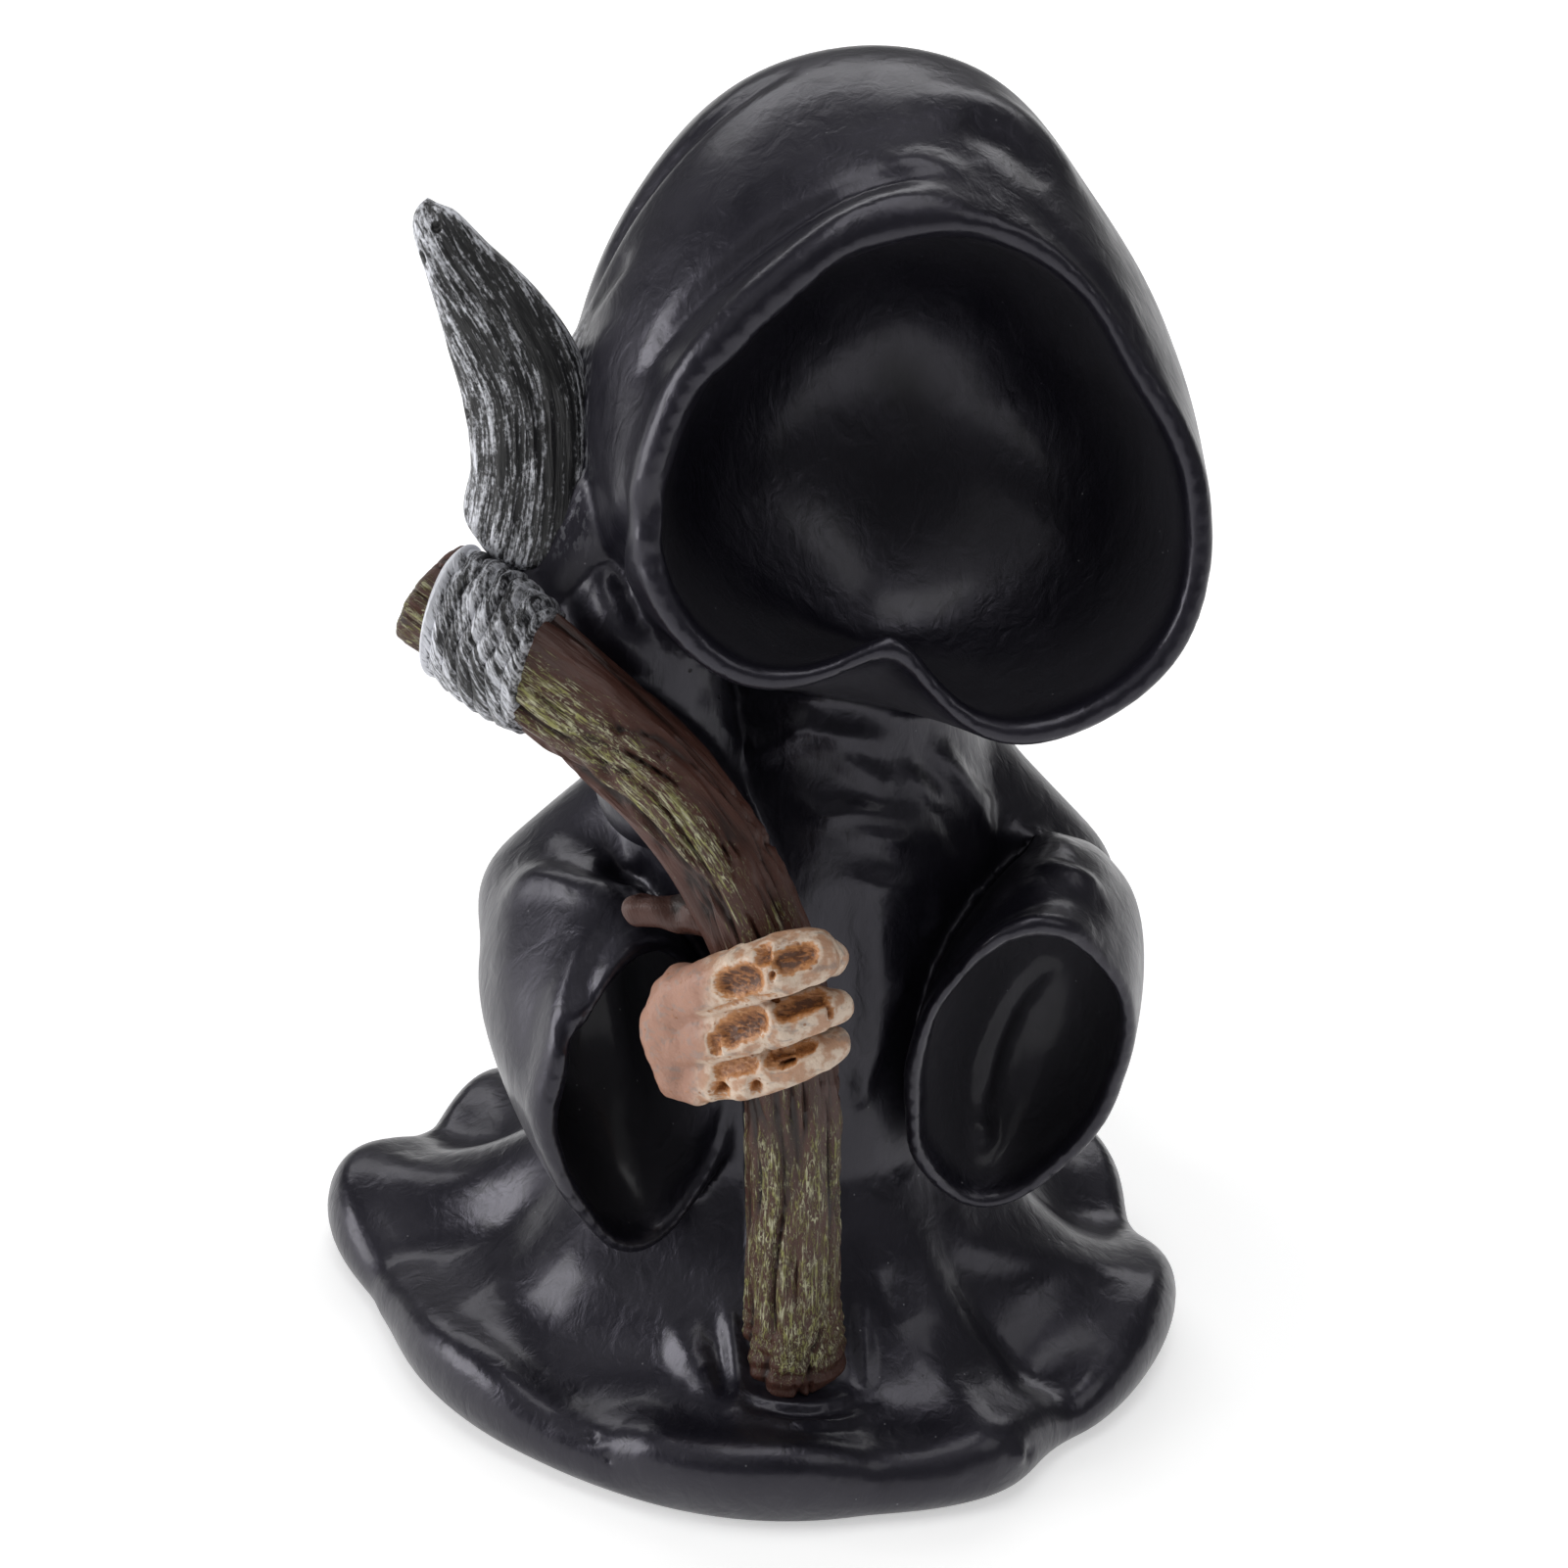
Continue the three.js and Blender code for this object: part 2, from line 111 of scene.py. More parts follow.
FINE = 1.0


def count(number):
    return max(4, int(number * FINE))


def through(points, t):
    """Points on the smooth line through some points, at t from 0 to 1."""
    spots = np.asarray(points, float)
    place = np.clip(np.asarray(t, float), 0, 1) * (len(spots) - 1)
    i = np.minimum(place.astype(int), len(spots) - 2)
    w = (place - i)[..., None]
    a, b = spots[np.maximum(i - 1, 0)], spots[i]
    c, d = spots[i + 1], spots[np.minimum(i + 2, len(spots) - 1)]
    u, v = (c - a) / 2, (d - b) / 2
    return (2 * b - 2 * c + u + v) * w**3 + (3 * c - 3 * b - 2 * u - v) * w**2 + u * w + b


def bell(x, width):
    return np.exp(-((x / width) ** 2))


def step(low, high, x):
    t = np.clip((x - low) / (high - low), 0, 1)
    return t * t * (3 - 2 * t)


def apart(a, b):
    """Degrees from bearing b to bearing a, either way."""
    return (a - b + 540) % 360 - 180


def skin(rows):
    """A closed skin from rings of points; the first and last rings close to a point."""
    rows = np.asarray(rows, float)
    n, around = rows.shape[:2]
    points = np.concatenate([rows[0, :1], rows[1:-1].reshape(-1, 3), rows[-1, :1]])
    i = np.arange(around)
    j = (i + 1) % around
    first, last = 1, 1 + (n - 3) * around
    faces = [np.stack([np.zeros_like(i), first + i, first + j, first + j], 1)]
    for r in range(n - 3):
        k = 1 + r * around
        faces.append(np.stack([k + i, k + around + i, k + around + j, k + j], 1))
    end = np.full_like(i, len(points) - 1)
    faces.append(np.stack([last + i, end, last + j, last + j], 1))
    faces = np.concatenate(faces)
    a, b, c = (points[faces[:, k]] for k in (0, 1, 2))
    if np.einsum("ij,ij->i", a, np.cross(b, c)).sum() < 0:
        faces = faces[:, ::-1]
    return points, faces


def robe_skin():
    turn = np.arange(count(420)) / count(420)
    bearing = turn * 360
    lift, reach = np.zeros_like(turn), np.zeros_like(turn)
    for at, half, up, out in ROLLS:
        crown = np.cos(np.minimum(np.abs(apart(bearing, at)) / half, 1) * np.pi / 2).clip(0) ** ROLL_CROWN
        lift += up * crown
        reach += out * crown
    for at, half, depth in NOTCHES:
        reach -= depth * bell(apart(bearing, at), half)
    top, edge = HEM_THICKNESS + lift, HEM_RADIUS + reach
    heights = []
    for t in np.linspace(0, 1, count(90)):
        r, z = through(TORSO, t)
        heights.append((np.full_like(turn, r), np.full_like(turn, z), 1))
    for t in np.linspace(0, 1, count(90))[1:]:
        r = WAIST_RADIUS + (edge - HEM_ROUNDING - WAIST_RADIUS) * t
        heights.append((r, top + (WAIST_HEIGHT - top) * (1 - t) ** SKIRT_HOLLOW, 1 - t))
    for t in np.linspace(0, np.pi, count(40))[1:]:
        heights.append((edge - HEM_ROUNDING * (1 - np.sin(t)), top / 2 * (1 + np.cos(t)), 0))
    for t in np.linspace(1, 0, count(60))[1:]:
        heights.append(((edge - HEM_ROUNDING) * t, np.zeros_like(turn), 0))
    angle = np.radians(bearing)
    rows = []
    for r, z, upper in heights:
        across = r * np.cos(angle) * (1 + TORSO_BREADTH * upper)
        rows.append(np.stack([across, r * np.sin(angle) + ROBE_SETBACK * upper, z], 1))
    return skin(rows)


# The hood, a deep cup of cloth with a rolled lip. It is empty: the bowl inside is smooth resin.
# It leans to the figure's left, and its collar stands up in a point at the bottom of the opening.
HOOD_FRONT = (5, -25, 104)
HOOD_TILT = 14
HOOD_LEAN = 8
HOOD_WIDEST = 20
HOOD_DEPTH = 46
HOOD_HOLLOW = 24
HOOD_LIP = 2.4
HOOD_SWELL = 1.8
HOOD_OPENING = [21.8, 17.8, 18.2, 18.9, 18.9, 19.6, 21.9, 25.2, 25.2, 27, 25.9, 25.9]
HOOD_OUTLINE = [26.2, 24.6, 26, 31.8, 33.1, 31.1, 30, 29, 28, 26.5, 28.3, 27.2]
COLLAR = (-93, 11, 20)
# The groove behind the rolled lip, the crown of the lip, a crease from the back and folds at the cheek.
HOOD_FOLDS = [
    (-1, 1.2, [(662, 372), (695, 325), (740, 280), (800, 235), (860, 205), (910, 187), (935, 187)]),
    (1.7, 2.3, [(652, 500), (690, 400), (760, 322), (820, 268), (880, 222), (950, 208), (1000, 215)]),
    (-0.8, 1.1, [(592, 322), (612, 276), (646, 214), (694, 154), (752, 104), (800, 76)]),
    (-0.6, 1.1, [(603, 318), (622, 285), (640, 262)]),
    (0.9, 3.2, [(930, 112), (1000, 108), (1050, 135), (1100, 190)]),
    (-0.6, 2.2, [(980, 130), (1030, 150), (1070, 195)]),
    (-0.7, 1.4, [(1055, 212), (1105, 262), (1150, 322), (1182, 385)]),
    (0.6, 1.4, [(905, 168), (945, 166), (985, 182)]),
    (0.5, 2, [(612, 520), (612, 570), (628, 615), (660, 660)]),
    (0.6, 1.9, [(652, 560), (650, 600), (672, 645), (710, 690), (750, 712)]),
    (-1, 1.4, [(640, 490), (634, 540), (638, 590), (655, 635), (695, 688)]),
    (-0.9, 1.4, [(674, 500), (662, 522), (655, 555)]),
    (-0.7, 1.2, [(670, 557), (662, 570), (652, 582)]),
]
LIP_CROWN = 1
BOWL_FULLNESS = 0.8
COLLAR_FADE = 1.4


def round_the_turn(values, turn):
    """A smooth closed run through values at even steps of a full turn."""
    values = np.asarray(values, float)
    place = turn * len(values)
    i = np.floor(place).astype(int)
    t = place - i
    p, q, r, s = (values[(i + k) % len(values)] for k in (-1, 0, 1, 2))
    return q + 0.5 * t * (r - p + t * (2 * p - 5 * q + 4 * r - s + t * (3 * (q - r) + s - p)))


def facing(direction, lean=0.0):
    """Right, up and facing directions of an opening, turned by lean in radians."""
    out = np.asarray(direction, float)
    out = out / np.linalg.norm(out)
    right = np.cross((0, 0, 1), out)
    right = right / np.linalg.norm(right)
    up = np.cross(out, right)
    turned = right * math.cos(lean) + up * math.sin(lean)
    return turned, up * math.cos(lean) - right * math.sin(lean), out


def cup(middle, axes, turn, rings):
    """A skin of rings, each with a radius, a depth behind the middle and a shift."""
    right, up, out = axes
    angle = turn * 2 * np.pi
    rows = []
    for radius, depth, shift in rings:
        radius = np.broadcast_to(radius, turn.shape)[:, None]
        spots = np.asarray(middle, float) + shift - out * np.broadcast_to(depth, turn.shape)[:, None]
        rows.append(spots + radius * (np.cos(angle)[:, None] * right + np.sin(angle)[:, None] * up))
    return skin(rows)


def hood_skin():
    turn = np.arange(count(360)) / count(360)
    tilt = math.radians(HOOD_TILT)
    axes = facing((0, -math.cos(tilt), math.sin(tilt)), -math.radians(HOOD_LEAN))
    at, rise, width = COLLAR
    bowl = round_the_turn(HOOD_OPENING, turn)
    opening = bowl - rise * bell(apart(turn * 360, at), width)
    outline = round_the_turn(HOOD_OUTLINE, turn)
    rings = []
    for t in np.linspace(0, np.pi / 2, count(80)):
        rings.append((outline * np.sin(t), HOOD_WIDEST + (HOOD_DEPTH - HOOD_WIDEST) * np.cos(t), 0))
    for t in np.linspace(0, 1, count(70))[1:]:
        depth = LIP_CROWN + (HOOD_WIDEST - LIP_CROWN) * (1 - t)
        rings.append((outline - (outline - opening - HOOD_LIP) * t**HOOD_SWELL, depth, 0))
    for t in np.linspace(0, np.pi, count(18))[1:]:
        rings.append((opening + HOOD_LIP / 2 * (1 + np.cos(t)), LIP_CROWN * (1 - np.sin(t)), 0))
    for t in np.linspace(0, np.pi / 2, count(80))[1:]:
        depth = LIP_CROWN + (HOOD_HOLLOW - LIP_CROWN) * np.sin(t)
        inside = opening + (bowl - opening) * min(1, COLLAR_FADE * np.sin(t))
        rings.append((inside * max(np.cos(t), 0) ** BOWL_FULLNESS, depth, 0))
    return cup(HOOD_FRONT, axes, turn, rings)


# Both sleeves hang open in front, as hollow bells of cloth, and the upper arms join them to the
# shoulders. The right one is round the hand; the left one is empty.
GRIP_SLEEVE = {
    "cuff": (-17, -22, 37), "faces": (0.42, -0.9, 0.05), "elbow": (-26.9, 0, 43.6),
    "radii": [11, 12, 13.4, 17.2, 13.8, 11.2, 11, 11.2, 13.2, 17.4, 14.5, 12],
    "hollow": 15, "lip": 2.0, "fullness": 0.8,
}
FREE_SLEEVE = {
    "cuff": (16.5, -26, 41), "faces": (0, -0.97, -0.2), "elbow": (24, -6, 47),
    "radii": [11.2, 13, 16.5, 20, 14.8, 11, 9.8, 10.5, 14, 17.6, 14, 11.8],
    "hollow": 13, "lip": 1.7, "fullness": 1.0,
}
GRIP_SLEEVE_FOLDS = [
    (1, 1.7, [(520, 915), (550, 895), (590, 900), (635, 925)]),
    (-0.9, 1.8, [(560, 880), (600, 888), (640, 896), (670, 905)]),
    (0.9, 2.4, [(602, 958), (576, 1030), (558, 1100), (550, 1160)]),
    (-0.8, 1.4, [(622, 950), (600, 1000), (586, 1060), (578, 1110)]),
    (0.5, 3, [(505, 960), (520, 1020), (530, 1090)]),
]
FREE_SLEEVE_FOLDS = [
    (0.9, 1.2, [(1066, 990), (1035, 1022), (1014, 1062), (1004, 1103), (1000, 1128)]),
    (0.7, 1.2, [(1003, 1140), (1002, 1172)]),
    (0.8, 1.1, [(985, 985), (1015, 958), (1060, 940), (1110, 952)]),
    (-0.6, 1.4, [(985, 965), (1020, 935), (1065, 915), (1120, 925)]),
]
UPPER_ARMS = [
    ((-6, -2, 63), (-23.2, -2, 45.5), 8, 8.2),
    ((6.5, -3, 63), (22, -5, 48.5), 9.5, 8.4),
]
# Resin left between the blade, the socket, the shoulder and the hood, and the cloth at the nape.
WEBS = [
    ((-15, -13, 66), (-19, -13, 82), 7, 7), ((-21, -17, 77), (-31, -12, 84), 4.5, 3.4),
    ((-27, -11, 84), (-22, -8, 92), 4, 6), ((-24, -8, 90), (-23, -5, 103), 4.6, 3.6),
    ((-0.5, 7.5, 79), (-6, -0.5, 56), 11.5, 12.5), ((4.5, 7.5, 79), (7, -0.5, 56), 11.5, 12.5),
]


def sleeve_skin(s):
    turn = np.arange(count(240)) / count(240)
    edge = round_the_turn(s["radii"], turn)
    back = np.subtract(s["elbow"], s["cuff"])
    lip = s["lip"]
    rings = []
    for t in np.linspace(0, np.pi / 2, count(90)):
        rings.append((edge * np.sin(t) ** BOWL_FULLNESS, 0, back * np.cos(t)))
    for t in np.linspace(0, np.pi, count(18))[1:]:
        rings.append((edge - lip / 2 * (1 - np.cos(t)), -LIP_CROWN * np.sin(t), 0))
    for t in np.linspace(0, np.pi / 2, count(50))[1:]:
        inward = back / np.linalg.norm(back) * s["hollow"] * np.sin(t)
        rings.append(((edge - lip) * max(np.cos(t), 0) ** s["fullness"], 0, inward))
    return cup(s["cuff"], facing(s["faces"]), turn, rings)


def limb_skin(start, end, first, last, around=64, rows=24, square=2):
    """A rod with round ends; with square above 2 its sides are flatter."""
    axis = np.subtract(end, start)
    length = np.linalg.norm(axis)
    turn = np.arange(count(around)) / count(around)
    angle = turn * 2 * np.pi
    shape = (np.abs(np.cos(angle)) ** square + np.abs(np.sin(angle)) ** square) ** (-1 / square)
    rings = []
    for t in np.linspace(0, np.pi / 2, count(rows)):
        rings.append((first * np.sin(t) * shape, first * np.cos(t), 0))
    for t in np.linspace(0, 1, count(rows))[1:-1]:
        rings.append(((first + (last - first) * t) * shape, -length * t, 0))
    for t in np.linspace(np.pi / 2, 0, count(rows)):
        rings.append((last * np.sin(t) * shape, -length - last * np.cos(t), 0))
    return cup(start, facing(axis), turn, rings)


# The scythe's shaft is a crooked branch, cast with the rest. Its middle line is needed first, because
# a wall of resin fills in behind it, back to the robe, where the mould could not reach.
SHAFT_LINE = [
    (-1.9, -28.2, 9.2), (-2.9, -29, 27), (-4.6, -30.6, 42.4), (-7.3, -31.2, 55.5), (-11.2, -30, 65.2),
    (-16, -27.6, 72.2), (-21.6, -24.1, 76.9), (-28, -19.4, 80.4), (-33, -15.5, 82.5), (-38, -11.9, 84.8),
]
FIN_HALF = 3.4
FIN_BACK = 21


def shaft_line():
    """The shaft's middle line, evenly spaced, with its directions and its length."""
    fine = through(SHAFT_LINE, np.linspace(0, 1, 2001))
    run = np.concatenate([[0], np.cumsum(np.linalg.norm(np.diff(fine, axis=0), axis=1))])
    even = np.stack([np.interp(np.linspace(0, run[-1], 801), run, fine[:, k]) for k in range(3)], 1)
    way = np.gradient(even, axis=0)
    way = way / np.linalg.norm(way, axis=1)[:, None]
    side = np.cross(way, (0, -1, 0))
    side = side / np.linalg.norm(side, axis=1)[:, None]
    return even, way, side, np.cross(side, way), run[-1]


shaft_spots, shaft_ways, shaft_sides, shaft_fronts, shaft_length = shaft_line()


def along_shaft(start, end, rows, around, radius_at, slant=0.0):
    """A stretch of the shaft, or of what is round it. Start, end and slant are shares of its length."""
    angle, place = np.meshgrid(np.arange(around) / around * 2 * np.pi, np.linspace(start, end, rows))
    at = (place + slant * np.cos(angle)) * (len(shaft_spots) - 1)
    index = np.arange(len(shaft_spots))
    spot, side, front = (
        np.stack([np.interp(at, index, values[:, k]) for k in range(3)], -1)
        for values in (shaft_spots, shaft_sides, shaft_fronts)
    )
    radius = radius_at(angle, place)[..., None]
    rings = spot + radius * (np.cos(angle)[..., None] * side + np.sin(angle)[..., None] * front)
    ends = np.repeat(spot.mean(1, keepdims=True), around, axis=1)
    return skin(np.concatenate([ends[:1], rings, ends[-1:]]))


def fin_radius(angle, place):
    reach = np.where(np.sin(angle) < 0, FIN_BACK, FIN_HALF)
    return FIN_HALF * reach / np.hypot(reach * np.cos(angle), FIN_HALF * np.sin(angle))


# All the cloth is run together here, with soft inner corners as in a casting, and then its folds and
# creases are pressed in. It is the bulk of the figure, and is lacquered glossy black.
CLOTH_GRAIN = 0.42
CLOTH_SOFTENING = 14
CLOTH_WAVER = 0.18
BACK_WAVER = 0.35
BACK_SOFTENING = 200
# The photo's view, from a little to the figure's right and from above, by which folds are placed.
VIEW_AIM = (-1.02, 5.77, 54)
VIEW_TURN = -10
VIEW_RISE = 30
VIEW_ROLL = 4.5
VIEW_AWAY = 430
VIEW_ANGLE = 20
PICTURE_SIDE = 1601


def view_axes():
    """Right, up and towards the viewer."""
    turn, rise, roll = (math.radians(a) for a in (VIEW_TURN, VIEW_RISE, VIEW_ROLL))
    back = Vector((math.sin(turn) * math.cos(rise), -math.cos(turn) * math.cos(rise), math.sin(rise)))
    level = Vector((0, 0, 1)).cross(back).normalized()
    upright = back.cross(level)
    across = level * math.cos(roll) + upright * math.sin(roll)
    return across, upright * math.cos(roll) - level * math.sin(roll), back


view_right, view_up, view_back = view_axes()
viewer = Vector(VIEW_AIM) + view_back * VIEW_AWAY


def sight(x, y):
    """The direction from the viewer through a place on the picture."""
    half = PICTURE_SIDE / 2
    spread = math.tan(math.radians(VIEW_ANGLE / 2)) / half
    return view_right * (x - half) * spread - view_up * (y - half) * spread - view_back


def drawn_on(piece, folds):
    """The folds with each of their places on the picture found on the piece."""
    surface = BVHTree.FromObject(piece, bpy.context.evaluated_depsgraph_get())
    found = []
    for height, width, path in folds:
        hits = [surface.ray_cast(viewer, sight(*place))[0] for place in path]
        if any(hits):
            found.append((height, width, [tuple(hit) for hit in hits if hit]))
    return found


def mesh_of(name, skins):
    """One object from several closed skins."""
    points, faces, start = [], [], 0
    for spots, corners in skins:
        points.append(spots)
        faces += [list(dict.fromkeys(row)) for row in (corners + start).tolist()]
        start += len(spots)
    mesh = bpy.data.meshes.new(name)
    mesh.from_pydata(np.concatenate(points).tolist(), [], faces)
    mesh.update()
    made = bpy.data.objects.new(name, mesh)
    bpy.context.scene.collection.objects.link(made)
    return made


def settle(piece):
    """Applies a piece's modifiers."""
    layers = bpy.context.evaluated_depsgraph_get()
    made = bpy.data.meshes.new_from_object(piece.evaluated_get(layers))
    piece.modifiers.clear()
    piece.data = made
    return piece


def fuse(piece, grain, softening):
    """Runs the lumps of a piece together."""
    remesh = piece.modifiers.new("run together", "REMESH")
    remesh.mode = "VOXEL"
    remesh.voxel_size = grain
    smooth = piece.modifiers.new("soft corners", "SMOOTH")
    smooth.factor = 0.5
    smooth.iterations = softening
    return settle(piece)


def even_out(piece, weights, times):
    """Smooths a piece where the weights say so."""
    group = piece.vertex_groups.new(name="even")
    for i, weight in enumerate(weights):
        if weight > 0.01:
            group.add([i], float(weight), "REPLACE")
    smooth = piece.modifiers.new("even out", "SMOOTH")
    smooth.factor = 0.5
    smooth.iterations = times
    smooth.vertex_group = "even"
    return settle(piece)


def thin_out(piece, triangles):
    """Fewer triangles, with most of them kept where the shape turns."""
    faces = len(piece.data.polygons) * 2
    if faces > triangles:
        fewer = piece.modifiers.new("fewer faces", "DECIMATE")
        fewer.ratio = triangles / faces
        settle(piece)
    return piece


def spots_of(piece):
    spots = np.empty(len(piece.data.vertices) * 3)
    piece.data.vertices.foreach_get("co", spots)
    return spots.reshape(-1, 3)


def normals_of(piece):
    normals = np.empty(len(piece.data.vertices) * 3)
    piece.data.vertex_normals.foreach_get("vector", normals)
    return normals.reshape(-1, 3)


def move_to(piece, spots):
    piece.data.vertices.foreach_set("co", np.ascontiguousarray(spots).ravel())
    piece.data.update()


def unevenness(spots, size, seed):
    """Smooth random waves from -1 to 1, about size across."""
    lattice = np.random.default_rng(seed).uniform(-1, 1, (32, 32, 32))
    place = np.asarray(spots) / size
    low = np.floor(place).astype(int)
    t = place - low
    t = t * t * (3 - 2 * t)
    total = 0
    for corner in range(8):
        k = np.array([corner & 1, corner >> 1 & 1, corner >> 2 & 1])
        weight = np.prod(np.where(k, t, 1 - t), axis=1)
        total = total + weight * lattice[tuple(((low + k) % 32).T)]
    return total


def pressed(spots, normals, folds, steep=2, faded=True):
    """How far each point moves out for a list of folds: height, half width and points along it."""
    moved = np.zeros(len(spots))
    for height, width, path in folds:
        path = np.asarray(path if len(path) > 1 else path * 2, float)
        steps = max(3, int(np.linalg.norm(np.diff(path, axis=0), axis=1).sum() / width * 1.5) + 1)
        t = np.linspace(0, 1, steps)
        line = through(path, t)
        fade = np.sin(np.pi * np.clip(t, 0.03, 0.97)) ** 0.5 if faded and np.ptp(line, 0).any() else np.ones(steps)
        reach = 2.6 * width
        near = np.all((spots > line.min(0) - reach) & (spots < line.max(0) + reach), axis=1).nonzero()[0]
        if not len(near):
            continue
        here = spots[near]
        facings = np.array([normals[near[((here - spot) ** 2).sum(1).argmin()]] for spot in line])
        away, share = np.full(len(near), np.inf), np.zeros(len(near))
        way = np.zeros((len(near), 3))
        for k in range(steps - 1):
            run = line[k + 1] - line[k]
            along = np.clip((here - line[k]) @ run / max(run @ run, 1e-9), 0, 1)
            far = np.linalg.norm(here - line[k] - along[:, None] * run, axis=1)
            closer = far < away
            away[closer] = far[closer]
            along = along[closer, None]
            share[closer] = fade[k] + (fade[k + 1] - fade[k]) * along[:, 0]
            way[closer] = facings[k] * (1 - along) + facings[k + 1] * along
        same_side = step(0, 0.6, np.einsum("ij,ij->i", way, normals[near]))
        moved[near] += height * share * same_side * np.exp(-((away / width) ** steep))
    return moved


def hung_folds(spots):
    """The height of the folds that hang down the back."""
    x, y, z = spots.T
    angle = np.arctan2(y - ROBE_SETBACK, x)
    number, height = BACK_FOLDS
    folds = height * np.cos(number * angle + 1.6 * np.sin(3 * angle) + z / 25)
    return folds * step(0.2, 0.7, np.sin(angle)) * step(14, 32, z) * step(78, 62, z)


cloth = [robe_skin(), hood_skin(), sleeve_skin(GRIP_SLEEVE), sleeve_skin(FREE_SLEEVE)]
cloth += [limb_skin(*arm) for arm in UPPER_ARMS] + [limb_skin(*web) for web in WEBS]
cloth.append(along_shaft(0.04, 0.78, count(160), count(64), fin_radius))
figure = fuse(mesh_of("reaper_casting", cloth), CLOTH_GRAIN, CLOTH_SOFTENING)
spots = spots_of(figure)
even_out(figure, step(-13, -4, spots[:, 1]) * step(13, 20, spots[:, 2]), BACK_SOFTENING)
spots, normals = spots_of(figure), normals_of(figure)
folds = CHEST_FOLDS + SKIRT_FOLDS + HOOD_FOLDS + GRIP_SLEEVE_FOLDS + FREE_SLEEVE_FOLDS
risen = pressed(spots, normals, drawn_on(figure, folds)) + CLOTH_WAVER * unevenness(spots, 11, 1)
risen += BACK_WAVER * unevenness(spots, 9, 2) * step(0, 14, spots[:, 1])
risen += hung_folds(spots)
risen *= np.clip(3 * normals[:, 2] + 2, 0, 1)
move_to(figure, spots + normals * risen[:, None])
even = figure.modifiers.new("even out", "SMOOTH")
even.factor = 0.5
even.iterations = 3
settle(figure)
cloth_spots, cloth_normals = spots_of(figure), normals_of(figure)
thin_out(figure, 112000)

# Black lacquer, brushed on glossy, with faint brush marks, a few pinholes and specks of dust. Beside
# the blade some of its silver has strayed onto it. Inside the hood and the sleeves the black is painted
# lighter, as painted light in those hollows, and its gloss is duller there.
LACQUER_BLACK = (0.0060, 0.0056, 0.0092, 1)
LACQUER_SHEEN = (0.86, 0.82, 1.0, 1)
INNER_DULLNESS = 0.3
# Painted light: a lighter black inside the hood and the sleeves, standing in for light reaching into them.
INNER_BLACK_WITH_PAINTED_LIGHT = (0.0130, 0.0127, 0.0150, 1)
DUST = (0.32, 0.32, 0.34, 1)
SILVER = (0.70, 0.71, 0.76, 1)


def new_paint(name):
    paint = bpy.data.materials.new(name)
    paint.use_nodes = True
    return paint, paint.node_tree, paint.node_tree.nodes["Principled BSDF"]


def put(tree, kind, inputs, **settings):
    """Adds a node, with its settings and with each of its inputs set or linked."""
    node = tree.nodes.new("ShaderNode" + kind)
    for name, value in settings.items():
        setattr(node, name, value)
    for name, value in inputs.items():
        if isinstance(value, bpy.types.NodeSocket):
            tree.links.new(value, node.inputs[name])
        else:
            node.inputs[name].default_value = value
    return node


def lay(tree):
    """Where a point is along its own piece's brush strokes, in mm."""
    return put(tree, "Attribute", {}, attribute_name="lay").outputs["Vector"]


def laid(tree, name):
    return put(tree, "Attribute", {}, attribute_name=name).outputs["Fac"]


def noise(tree, place, sizes, detail=3.0, roughness=0.55, warp=0.0):
    """Random waves from 0 to 1 whose sizes across, through and along are given in mm."""
    scaled = put(tree, "VectorMath", {0: place, 1: tuple(1 / size for size in sizes)}, operation="MULTIPLY")
    values = {"Vector": scaled.outputs[0], "Scale": 1.0, "Detail": detail}
    values.update({"Roughness": roughness, "Distortion": warp})
    return put(tree, "TexNoise", values).outputs["Fac"]


def specks(tree, place, apart, low, high):
    """Round dots in a random scatter: 1 in the middle of each and 0 outside."""
    scaled = put(tree, "VectorMath", {0: place, "Scale": 1 / apart}, operation="SCALE")
    dots = put(tree, "TexVoronoi", {"Vector": scaled.outputs[0], "Scale": 1.0})
    return step_up(tree, dots.outputs["Distance"], high, low)


def step_up(tree, value, low, high, bottom=0.0, top=1.0):
    """Rises smoothly from bottom to top as the value goes from low to high."""
    inputs = {"Value": value, "From Min": low, "From Max": high, "To Min": bottom, "To Max": top}
    return put(tree, "MapRange", inputs, interpolation_type="SMOOTHSTEP").outputs["Result"]


def sums(tree, operation, a, b):
    return put(tree, "Math", {0: a, 1: b}, operation=operation).outputs[0]


def blend(tree, amount, under, over):
    return put(tree, "MixRGB", {"Fac": amount, "Color1": under, "Color2": over}).outputs[0]


def finish_paint(tree, shader, colour, roughness, height, depth_mm, strength=1.0, metal=0.0):
    """Links a paint's colour, gloss and the small relief of its surface to its shader."""
    inputs = {"Height": height, "Distance": depth_mm / 1000, "Strength": strength}
    relief = put(tree, "Bump", inputs).outputs[0]
    for name, value in (("Base Color", colour), ("Roughness", roughness), ("Metallic", metal)):
        if isinstance(value, bpy.types.NodeSocket):
            tree.links.new(value, shader.inputs[name])
        else:
            shader.inputs[name].default_value = value
    tree.links.new(relief, shader.inputs["Normal"])


